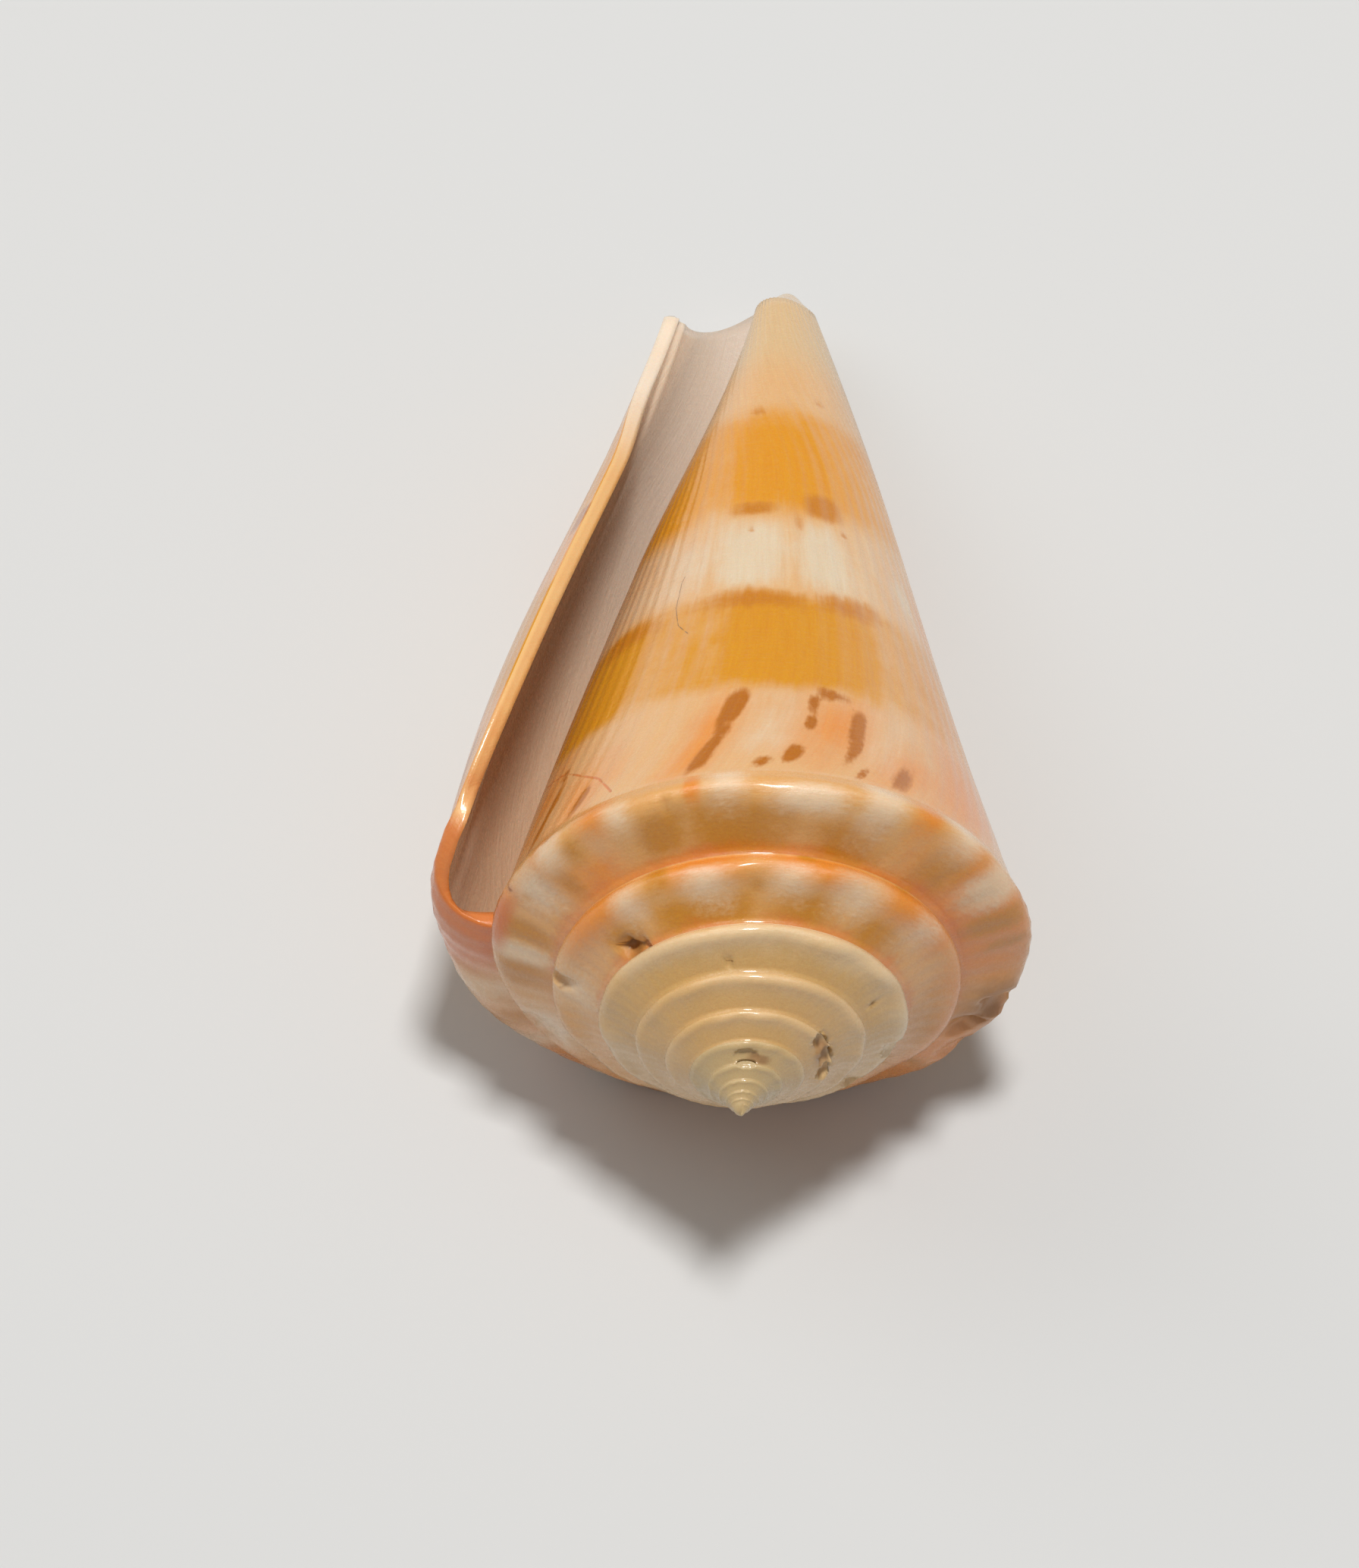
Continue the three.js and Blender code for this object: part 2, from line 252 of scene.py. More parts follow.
    def spire_profile(self, turn: Array, station: Array, start: Array | None = None) -> Array:
        """Section of a turn in three cubic curves: stations 0 to 1 cross the ramp, 1 to 2 round the
        shoulder and 2 to 3 go down the wall to the suture.

        Args:
            turn: turns back from the lip.
            station: place across the section, from 0 to 3.
            start: where the ramp begins on the inside of the wall, or None for the outside.

        Returns:
            Radii and depths in a last axis of two.
        """
        turn, station = np.broadcast_arrays(turn, station)
        is_inside = start is not None
        start = start if is_inside else self.suture(turn + 1)
        inset = self.wall_thickness(turn) if is_inside else 0.0
        radius = self.turn_radius(turn)
        late = ease(turn, self.early_turn, self.late_turn)
        near_lip = 1 - ease(turn, 0, self.wall_gain_turns)
        share = blend(self.early_rounding, self.rounding, late) + self.lip_rounding * near_lip
        across = (self.inside_rounding if is_inside else share) * radius
        along = across if is_inside else across * self.rounding_height
        depth = self.shoulder_depth(turn) + self.inset_drop * inset
        edge = pair(radius - 0.25 * self.taper * along - inset, depth + along)
        shoulder = pair(edge[..., 0] - across, depth)
        inner_depth = depth + self.step_height(turn)
        outer_depth = inner_depth - self.inset_drop * inset
        inner_end = pair(self.side_radius(turn, outer_depth) - inset, inner_depth)
        end = inner_end if is_inside else self.suture(turn)
        width = np.maximum(shoulder[..., 0] - start[..., 0], 0)
        fall = end[..., 1] - edge[..., 1]
        approach = shoulder - pair(width, self.ramp_taper * width) / 3
        ramp = (start, blend(start, shoulder, 1 / 3), approach, shoulder)
        over = shoulder + CIRCLE_HANDLE * pair(across, self.ramp_taper * across)
        rounding = (shoulder, over, edge - CIRCLE_HANDLE * pair(0 * along, along), edge)
        down = edge + WALL_HANDLE * pair(0 * fall, fall)
        wall = (edge, down, end - WALL_HANDLE * pair(-self.taper * fall, fall), end)
        span = np.clip(np.floor(station), 0, 2).astype(int)
        curves = np.stack([bezier(points, station - span) for points in (ramp, rounding, wall)])
        return np.take_along_axis(curves, span[None, ..., None], 0)[0]

    def lip_lead(self, turn: Array, station: Array) -> Array:
        """Turns by which a station down the lip leads the suture. It fades with the square of the distance
        behind the lip.

        Args:
            turn: turns back from the lip.
            station: 0 to 3 on the spire, 3 to 4 down the side.

        Returns:
            Leads in turns.
        """
        down = np.maximum(station - 3, 0)
        on_spire = self.lip_set_back * 0.5 * ease(station / 3, 0.3, 1)
        recess = self.lip_set_back * (1 - 0.5 * np.exp(-down / self.lip_set_back_spread))
        on_side = recess + self.lip_front_sweep * ease(down, 0.6, 1)
        fade = np.clip(1 - turn / self.lip_reach, 0, 1) ** 2
        return np.where(station < 3, on_spire, on_side) / 360 * fade

    def point(self, turn: Array, radius: Array, depth: Array) -> Array:
        """Point in space: radius times the cosine and sine of the azimuth, which grows by a full circle a
        turn, and depth downwards. The deep end of the columella leans over.

        Args:
            turn: turns back from the lip.
            radius: distance from the axis.
            depth: depth below the apex.

        Returns:
            Points in a last axis of three, apex up.
        """
        angle = math.radians(self.lip_azimuth) + FULL_TURN * turn
        low = ease(depth, self.columella_bend_depth, self.columella_bend_depth + self.columella_bend_length)
        lean = self.columella_bend * low * ease(turn, 0.55, 1.05)
        return np.stack([radius * np.cos(angle) + lean, radius * np.sin(angle), -depth + 0 * angle], -1)


@dataclass
class Sheet:
    """A grid of point numbers: rows run back along the turns and columns run across the wall."""

    index: Array
    turn: Array
    station: Array
    region: Region
    faces_inward: bool = False


@dataclass
class PointStore:
    """Collects the points of every sheet, with the turn and station that each one was made for."""

    blocks: list[Array] = field(default_factory=list)
    labels: list[Array] = field(default_factory=list)
    count: int = 0

    def add(self, points: Array, turn: Array, station: Array, region: Region) -> Array:
        """Adds points and numbers them.

        Args:
            points: positions in a last axis of three.
            turn: the turn of each point.
            station: the station of each point.
            region: where on the wall they are.

        Returns:
            Their numbers, in the shape of points without its last axis.
        """
        shape = points.shape[:-1]
        label = np.stack(np.broadcast_arrays(turn, station, float(region)), -1)
        self.blocks.append(points.reshape(-1, 3))
        self.labels.append(np.broadcast_to(label, (*shape, 3)).reshape(-1, 3))
        size = int(np.prod(shape))
        self.count += size
        return (self.count - size + np.arange(size)).reshape(shape)

    def positions(self) -> Array:
        """All positions so far, one row a point."""
        return np.concatenate(self.blocks)

    def label_rows(self) -> Array:
        """Turn, station and region of all points so far, one row a point."""
        return np.concatenate(self.labels)


@dataclass
class Surface:
    """The closed wall as arrays: points, four-cornered and three-cornered faces, and labels."""

    points: Array
    labels: Array
    quads: Array
    quad_labels: Array
    triangles: Array
    triangle_labels: Array

    def normals(self) -> Array:
        """Point normals: the sum of the cross products of the diagonals or sides of the faces around it.

        Returns:
            Unit vectors, one row a point.
        """
        corners = self.points[self.quads]
        quad_cross = np.cross(corners[:, 2] - corners[:, 0], corners[:, 3] - corners[:, 1])
        corners = self.points[self.triangles]
        triangle_cross = np.cross(corners[:, 1] - corners[:, 0], corners[:, 2] - corners[:, 0])
        total = np.zeros_like(self.points)
        for axis in range(3):
            quad_sum = np.bincount(self.quads.ravel(), np.repeat(quad_cross[:, axis], 4), len(total))
            triangle_sum = np.bincount(
                self.triangles.ravel(), np.repeat(triangle_cross[:, axis], 3), len(total))
            total[:, axis] = quad_sum + triangle_sum
        return total / np.maximum(np.linalg.norm(total, axis=1, keepdims=True), 1e-12)


@dataclass
class WallBuilder:
    """Stitches the sheets of the wall into one closed surface."""

    law: GrowthLaw
    rows_per_turn: int = 300
    ramp_columns: int = 6
    rounding_columns: int = 5
    wall_columns: int = 2
    side_columns: int = 76
    side_crowding: float = 1.25
    edge_columns: int = 3
    edge_crown: float = 0.12
    hidden_station: float = 0.024
    closing_share: float = 0.94
    closing_start: float = 0.45
    closing_gap: float = 0.03
    tip_rings: int = 8
    store: PointStore = field(default_factory=PointStore)
    sheets: list[Sheet] = field(default_factory=list)
    triangles: list[Array] = field(default_factory=list)

    @property
    def turn_rows(self) -> int:
        """Rows from the lip to the first turn."""
        return round(self.law.turns * self.rows_per_turn)

    @property
    def cavity_rows(self) -> int:
        """Rows that the open aperture goes back from the lip."""
        return round(self.law.cavity_turns * self.rows_per_turn)

    @property
    def spire_stations(self) -> Array:
        """Stations across the ramp, the shoulder and the top of the wall.

        Returns:
            Stations from 0 to 3.
        """
        ramp = np.linspace(0, 1, self.ramp_columns + 1)
        rounding = np.linspace(1, 2, self.rounding_columns + 1)[1:]
        wall = np.linspace(2, 3, self.wall_columns + 1)[1:]
        return np.concatenate([ramp, rounding, wall])

    @property
    def side_stations(self) -> Array:
        """Stations down the side: the first few behind the wall of the next turn, the rest crowded toward
        the shoulder by a power of their share.

        Returns:
            Stations from 3 to 4.
        """
        hidden = self.hidden_station * np.linspace(0, 1, self.edge_columns + 1)
        share = np.linspace(0, 1, self.side_columns - self.edge_columns + 1)[1:] ** self.side_crowding
        return 3 + np.concatenate([hidden, blend(self.hidden_station, 1, share)])

    def side_depth(self, turn: Array, station: Array) -> Array:
        """Depth of a station on the side: the hidden wall first, then straight down to the front end.

        Args:
            turn: turns back from the lip.
            station: 3 at the suture to 4 at the front end.

        Returns:
            Depths in millimetres.
        """
        law = self.law
        share = station - 3
        top = law.suture(turn)[..., 1]
        covered = top + law.hidden_wall * np.minimum(share / self.hidden_station, 1)
        beyond = np.maximum(share - self.hidden_station, 0) / (1 - self.hidden_station)
        return covered + (law.front_depth(turn) - top - law.hidden_wall) * beyond

    def build_spire(self) -> tuple[Array, Sheet]:
        """Spire: one strip wound over every turn, which shares each suture with the turn inside it.

        Returns:
            Point numbers along the suture, and the strip.
        """
        law, per_turn = self.law, self.rows_per_turn
        turn = np.arange(self.turn_rows + per_turn + 1) / per_turn
        place = turn + law.lip_lead(turn, np.float64(3))
        section = law.suture(place)
        points = law.point(place, section[..., 0], section[..., 1])
        sutures = self.store.add(points, place, 3.0, Region.SPIRE)
        rows = np.arange(self.turn_rows + 1)[:, None] / per_turn
        stations = self.spire_stations[None]
        place = rows + law.lip_lead(rows, stations)
        section = law.spire_profile(place, stations)
        points = law.point(place, section[..., 0], section[..., 1])
        index = np.empty(place.shape, int)
        index[:, 0] = sutures[per_turn:per_turn + len(rows)]
        index[:, -1] = sutures[:len(rows)]
        inner = np.s_[:, 1:-1]
        index[inner] = self.store.add(points[inner], place[inner], stations[inner], Region.SPIRE)
        strip = Sheet(index, place, np.broadcast_to(stations, place.shape), Region.SPIRE)
        self.sheets.append(strip)
        last = index[-1]
        first_row = np.full(len(last) - 1, sutures[self.turn_rows + 1])
        self.triangles.append(np.stack([first_row, last[:-1], last[1:]], -1))
        around = sutures[self.turn_rows + 1:self.turn_rows + per_turn]
        apex = np.full(len(around) - 1, sutures[-1])
        self.triangles.append(np.stack([apex, around[:-1], around[1:]], -1))
        return sutures, strip

    def build_side(self, sutures: Array) -> Sheet:
        """Side of the last turn, and on behind the lip as the columella side of the aperture.

        Args:
            sutures: point numbers along the suture.

        Returns:
            The whole side sheet.
        """
        rows = np.arange(self.rows_per_turn + self.cavity_rows + 1)[:, None] / self.rows_per_turn
        stations = self.side_stations[None]
        place = rows + self.law.lip_lead(rows, stations)
        depth = self.side_depth(place, stations)
        points = self.law.point(place, self.law.side_radius(place, depth), depth)
        index = np.empty(place.shape, int)
        index[:, 0] = sutures[:len(rows)]
        index[:, 1:] = self.store.add(points[:, 1:], place[:, 1:], stations[:, 1:], Region.SIDE)
        side = Sheet(index, place, np.broadcast_to(stations, place.shape), Region.SIDE)
        outer, inner = np.s_[:self.rows_per_turn + 1], np.s_[self.rows_per_turn:, self.edge_columns:]
        for part in (outer, inner):
            self.sheets.append(Sheet(index[part], side.turn[part], side.station[part], Region.SIDE))
        return side

    def build_inside(self, side: Sheet) -> Sheet:
        """Inside of the last turn: the outer form less the wall, drawn in by a square law to meet the turn
        before it at the back of the aperture.

        Args:
            side: the side sheet.

        Returns:
            The inside sheet.
        """
        law = self.law
        rows = np.arange(self.cavity_rows + 1)[:, None] / self.rows_per_turn
        spire, down = self.spire_stations[None], self.side_stations[None, 1:]
        back = (rows / law.cavity_turns - self.closing_start) / (1 - self.closing_start)
        closing = self.closing_share * np.clip(back, 0, 1) ** 2
        place = rows + law.lip_lead(rows, spire)
        start_depth = law.suture(place + 1)[..., 1] + law.hidden_wall
        start = pair(law.side_radius(place + 1, start_depth), start_depth)
        upper = law.spire_profile(place, spire, start)
        lower_place = rows + law.lip_lead(rows, down)
        outer_top = law.shoulder_depth(lower_place) + law.step_height(lower_place)
        front = law.front_depth(lower_place)
        share = (self.side_depth(lower_place, down) - outer_top) / (front - outer_top)
        wall = law.wall_thickness(lower_place)
        depth = blend(outer_top + law.inset_drop * wall, front, share)
        lower = pair(law.side_radius(lower_place, depth) - wall, depth)
        section = np.concatenate([upper, lower], 1)
        place = np.concatenate([place, lower_place], 1)
        station = np.broadcast_to(np.concatenate([spire, down], 1), place.shape)
        met = law.side_radius(place + 1, section[..., 1]) + self.closing_gap
        points = law.point(place, blend(section[..., 0], met, closing), section[..., 1])
        index = np.empty(place.shape, int)
        index[:, 0] = side.index[self.rows_per_turn:, self.edge_columns]
        index[:, 1:] = self.store.add(points[:, 1:], place[:, 1:], station[:, 1:], Region.INSIDE)
        inside = Sheet(index, place, station, Region.INSIDE, faces_inward=True)
        self.sheets.append(inside)
        return inside

    def bridge(self, outer: Array, inner: Array, turn: Array, station: Array, crown: float) -> Array:
        """Rows of points between two edges: straight across, raised by half a sine times the crown.

        Args:
            outer: point numbers of one edge.
            inner: point numbers of the other.
            turn: turn of each pair.
            station: station of each pair.
            crown: how far forward the middle is raised.

        Returns:
            Point numbers with the bridge in a last axis, both edges included.
        """
        positions = self.store.positions()
        share = np.linspace(0, 1, self.edge_columns + 1)[None, 1:-1]
        between = blend(positions[outer][:, None], positions[inner][:, None], share[..., None])
        between[..., 2] -= crown * np.sin(math.pi * share)
        middle = self.store.add(between, turn[:, None], station[:, None], Region.EDGE)
        return np.concatenate([outer[:, None], middle, inner[:, None]], 1)

    def build_edges(self, strip: Sheet, side: Sheet, inside: Sheet) -> Array:
        """Edge of the outer lip, and the edge of the notch at the front end.

        Args:
            strip: the spire strip.
            side: the side sheet.
            inside: the inside sheet.

        Returns:
            Point numbers of the last row of the notch edge.
        """
        outer = np.concatenate([strip.index[0], side.index[0, 1:]])
        lip = self.bridge(outer, inside.index[0], inside.turn[0], inside.station[0], 0.0)
        lip[0] = side.index[self.rows_per_turn, :self.edge_columns + 1]
        lip_turn = np.broadcast_to(inside.turn[0][:, None], lip.shape)
        lip_station = np.broadcast_to(inside.station[0][:, None], lip.shape)
        self.sheets.append(Sheet(lip, lip_turn, lip_station, Region.EDGE))
        turn, station = inside.turn[:, -1], inside.station[:, -1]
        front_outer = side.index[:self.cavity_rows + 1, -1]
        notch = self.bridge(front_outer, inside.index[:, -1], turn, station, self.edge_crown)
        notch[0] = lip[-1]
        notch_turn = np.broadcast_to(turn[:, None], notch.shape)
        self.sheets.append(Sheet(notch, notch_turn, np.full(notch.shape, FRONT_END), Region.EDGE))
        return notch[-1]

    def close_aperture(self, side: Sheet, inside: Sheet) -> None:
        """Back of the aperture: joins two edges from the top down, taking the higher next point each time.

        Args:
            side: the side sheet.
            inside: the inside sheet.
        """
        left, right = inside.index[-1], side.index[-1, self.edge_columns:]
        depth = -self.store.positions()[:, 2]
        order = np.argsort(np.concatenate([depth[left[1:]], depth[right[1:]]]), kind="stable")
        from_left = order < len(left) - 1
        left_now, right_now = np.cumsum(from_left), np.cumsum(~from_left)
        left_before, right_before = left_now - from_left, right_now - ~from_left
        third = np.where(from_left, left[left_now], right[right_now])
        joined = np.stack([right[right_before], third, left[left_before]], -1)
        self.triangles.append(joined[joined[:, 0] != joined[:, 2]])

    def close_tip(self, side: Sheet, notch_end: Array) -> None:
        """Front tip of the columella, in rings: depth follows a quarter sine to the tip, and the radius goes
        from the open end to a half ellipse by the cube of what is left.

        Args:
            side: the side sheet.
            notch_end: point numbers of the last row of the notch edge.
        """
        law = self.law
        ring = np.concatenate([side.index[self.cavity_rows:, -1], notch_end[:0:-1]])
        start = self.store.positions()[ring] - [law.columella_bend, 0, 0]
        angle, radius = np.arctan2(start[:, 1], start[:, 0]), np.hypot(start[:, 0], start[:, 1])
        depth = -start[:, 2]
        share = np.arange(1, self.tip_rings + 1)[:, None] / (self.tip_rings + 1)
        low = blend(depth, law.tip_depth, np.sin(share * math.pi / 2))
        reach = self.tip_form(low) + (radius - self.tip_form(depth)) * (1 - share) ** 3
        points = np.stack([law.columella_bend + reach * np.cos(angle), reach * np.sin(angle), -low], -1)
        rings = np.concatenate([ring[None], self.store.add(points, TIP_TURN, FRONT_END, Region.TIP)])
        rings = np.concatenate([rings, rings[:, :1]], 1)
        tip_turn, tip_station = np.full(rings.shape, TIP_TURN), np.full(rings.shape, FRONT_END)
        self.sheets.append(Sheet(rings[::-1], tip_turn, tip_station, Region.TIP))
        end = np.array([[law.columella_bend, 0, -law.tip_depth]])
        tip = np.repeat(self.store.add(end, TIP_TURN, FRONT_END, Region.TIP), len(ring))
        self.triangles.append(np.stack([tip, rings[-1, 1:], rings[-1, :-1]], -1))

    def tip_form(self, depth: Array) -> Array:
        """Radius of the tip: a half ellipse over its last stretch.

        Args:
            depth: depth below the apex.

        Returns:
            Radii in millimetres.
        """
        law = self.law
        share = np.clip((depth - law.tip_depth + law.tip_length) / law.tip_length, 0, 1)
        return law.tip_radius * np.sqrt(1 - share**2)

    def build(self) -> Surface:
        """Builds every sheet and makes their faces, each pointing out.

        Returns:
            The closed surface.
        """
        sutures, strip = self.build_spire()
        side = self.build_side(sutures)
        inside = self.build_inside(side)
        notch_end = self.build_edges(strip, side, inside)
        self.close_aperture(side, inside)
        self.close_tip(side, notch_end)
        quads, quad_labels = zip(*[self.faces_of(sheet) for sheet in self.sheets])
        triangles = np.concatenate(self.triangles)
        labels = self.store.label_rows()
        quads, quad_labels = np.concatenate(quads), np.concatenate(quad_labels)
        used = np.unique(np.concatenate([quads.ravel(), triangles.ravel()]))
        renumber = np.zeros(self.store.count, int)
        renumber[used] = np.arange(len(used))
        return Surface(
            points=self.store.positions()[used], labels=labels[used],
            quads=renumber[quads], quad_labels=quad_labels,
            triangles=renumber[triangles], triangle_labels=labels[triangles])

    def faces_of(self, sheet: Sheet) -> tuple[Array, Array]:
        """Four-cornered faces of a sheet's cells, with the turn, station and region of each corner.

        Args:
            sheet: the sheet.

        Returns:
            Point numbers and labels of the faces.
        """
        label = np.stack([sheet.turn, sheet.station, np.full(sheet.turn.shape, float(sheet.region))], -1)
        corners = [(slice(None, -1), slice(None, -1)), (slice(None, -1), slice(1, None)),
                   (slice(1, None), slice(1, None)), (slice(1, None), slice(None, -1))]
        order = corners[::-1] if sheet.faces_inward else corners
        quads = np.stack([sheet.index[corner].ravel() for corner in order], -1)
        labels = np.stack([label[corner].reshape(-1, 3) for corner in order], 1)
        return quads, labels


@dataclass(frozen=True)
class Dent:
    """A place where the wall is pitted, chipped or broken: a bowl, with its sizes in millimetres, and how
    jagged its edge is."""

    turn: float
    station: float
    around: float
    across: float
    depth: float
    jag: float = 1.0
    rise: float = 0.77


@dataclass(frozen=True)
class Relief:
    """Low relief of the wall: growth ridges, uneven shoulders and damage."""

    law: GrowthLaw
    ridge_height: float = 0.012
    ridges_per_turn: float = 61.0
    swell_height: float = 0.08
    swells_per_turn: float = 9.0
    ridge_wobbles: tuple[tuple[float, float], ...] = ((1.7, 3.1), (0.9, 7.3))
    swell_wobble: tuple[float, float] = (2.0, 2.3)
    swell_station: float = 1.3
    swell_width: float = 0.8
    rim_station: float = 1.2
    rim_width: float = 0.7
    rim_turns: tuple[float, float] = (0.9, 2.4)
    jags: tuple[tuple[float, int, int], ...] = ((0.12, 3, 1), (0.09, 7, 2))
    dent_reach: float = 1.2
    rim_height: float = 0.022
    apex_pinch: float = 0.42
    apex_reach: float = 1.1
    dents: tuple[Dent, ...] = (
        Dent(5.74, 0.30, 0.46, 0.25, 0.15, jag=0.2),
        Dent(4.565, 1.30, 0.42, 0.22, 0.30, jag=0.3),
        Dent(4.515, 1.30, 0.42, 0.24, 0.30, jag=0.3),
        Dent(1.889, 0.30, 0.32, 0.22, 0.46),
        Dent(1.872, 0.10, 0.46, 0.12, 0.30),
        Dent(2.778, 0.33, 0.13, 0.10, 0.14),
        Dent(2.555, 0.45, 0.08, 0.07, 0.16),
        Dent(1.985, 1.15, 0.26, 0.55, 0.14),
        Dent(1.09, 1.10, 0.95, 0.45, 0.14),
        Dent(1.11, 0.55, 0.55, 0.35, 0.12),
        Dent(0.452, 1.25, 0.70, 0.85, 0.30),
        Dent(0.425, 0.70, 0.55, 0.60, 0.20),
        Dent(0.400, 1.30, 0.60, 0.60, 0.16),
        Dent(0.807, 1.25, 0.13, 0.30, 0.06),
        Dent(0.661, 1.45, 0.20, 0.14, 0.06),
        Dent(0.943, 1.92, 0.16, 0.12, 0.12),
        Dent(2.45, 1.35, 0.45, 0.35, 0.14),
        Dent(2.38, 1.20, 0.30, 0.30, 0.14),
        Dent(4.47, 1.10, 0.34, 0.22, 0.26, jag=0.3),
    )

    def growth(self, turn: Array, station: Array) -> Array:
        """Turn that a growth line has at the suture: the turn less the lead of the lip."""
        return turn - self.law.lip_lead(np.float64(0), station)

    def height(self, surface: Surface) -> Array:
        """Height of the relief above the plain form: sines of the growth turn for ridges and swells, and
        a bell curve across the shoulder for the raised rims of the early turns.

        Args:
            surface: the plain wall.

        Returns:
            Heights in millimetres, one a point.
        """
        turn, station, region = surface.labels.T
        outside = (region == Region.SPIRE) | (region == Region.SIDE)
        grown = self.growth(turn, station)
        wobble = sum(size * np.sin(FULL_TURN * count * grown) for size, count in self.ridge_wobbles)
        ridges = np.sin(FULL_TURN * self.ridges_per_turn * grown + wobble)
        wobble = self.swell_wobble[0] * np.sin(FULL_TURN * self.swell_wobble[1] * grown)
        swells = np.sin(FULL_TURN * self.swells_per_turn * grown + wobble)
        size = np.minimum(self.law.turn_radius(turn) / self.law.shoulder_radius, 1)
        is_spire = region == Region.SPIRE
        shoulder = np.exp(-((station - self.swell_station) / self.swell_width) ** 2) * is_spire
        fade = np.where(is_spire, np.sin(math.pi * np.clip(station / 3, 0, 1)) ** 0.5, 1)
        height = fade * size * (self.ridge_height * ridges + self.swell_height * shoulder * swells)
        rim = np.exp(-((station - self.rim_station) / self.rim_width) ** 2) * is_spire
        rim = rim * ease(turn, *self.rim_turns)
        height = height + rim * self.rim_height * self.law.turn_radius(turn)
        return height * np.where(outside, 1, 0)

    def carved(self, points: Array, surface: Surface) -> Array:
        """Cuts the dents: a point over the bowl of a dent drops onto it. A bowl's depth is the dent's depth
        times the root of one less the squared distance from its middle, over a jagged ellipse.

        Args:
            points: points about the shell's own axis.
            surface: the plain wall, for their regions.

        Returns:
            The points, with the dents in them.
        """
        region = surface.labels[:, 2]
        outside = (region == Region.SPIRE) | (region == Region.SIDE)
        points = points.copy()
        for number, dent in enumerate(self.dents):
            middle, along, up = self.dent_frame(dent)
            across = np.cross(up, along)
            offset = points - middle
            height = offset @ up
            x, y = offset @ along / dent.around, offset @ across / dent.across
            angle = np.arctan2(y, x)
            waves = sum(size * np.sin(count * angle + shift * number) for size, count, shift in self.jags)
            jagged = 1 + dent.jag * waves
            share = np.clip(1 - (np.hypot(x, y) / jagged) ** 2, 0, 1)
            drop = height + dent.depth * np.sqrt(share)
            near = outside & (share > 0) & (np.abs(height) < self.dent_reach)
            points -= np.where(near, np.maximum(drop, 0), 0)[:, None] * up
        return points

    def pinched(self, points: Array) -> Array:
        """Draws the apex in toward the axis: a radius is less by a share that fades with the square of the
        depth, as e to the minus (depth / reach) squared.

        Args:
            points: points about the shell's own axis.

        Returns:
            The points with a slimmer apex.
        """
        depth = np.maximum(-points[:, 2], 0)
        share = 1 - self.apex_pinch * np.exp(-((depth / self.apex_reach) ** 2))
        return points * np.stack([share, share, np.ones(len(points))], -1)

    def dent_frame(self, dent: Dent) -> tuple[Array, Array, Array]:
        """Middle of a dent on the plain form, the way along the turn there, and the way out.

        Args:
            dent: the dent.

        Returns:
            A point and two unit vectors about the shell's own axis.
        """
        section = self.law.spire_profile(np.array([dent.turn]), np.array([min(dent.station, 2.99)]))[0]
        middle = self.law.point(np.float64(dent.turn), section[0], section[1])
        angle = math.radians(self.law.lip_azimuth) + FULL_TURN * dent.turn
        outward = math.sqrt(1 - dent.rise**2)
        along = np.array([-math.sin(angle), math.cos(angle), 0.0])
        return middle, along, np.array([outward * math.cos(angle), outward * math.sin(angle), dent.rise])


class Layer(Enum):
    """A kind of mark, stored on the mesh under this name."""

    OCHRE = "ochre"
    GOLD = "gold"
    WHITE = "white"
    PINK = "pink"
    DASH = "dash"
    BLOTCH = "blotch"
    ORANGE = "orange"
    PALE = "pale"
    DARK = "dark"
    WORN = "worn"
    RUST = "rust"
    CREAM = "cream"


@dataclass(frozen=True)
class Mark:
    """A mark on the wall: a rounded box in growth turns and stations. Its value rises from the edge inward,
    and faster with a greater edge."""

    turn: float
    station: float
    half_turn: float
    half_station: float
    strength: float
    power: float = 3.0
    edge: float = 1.0


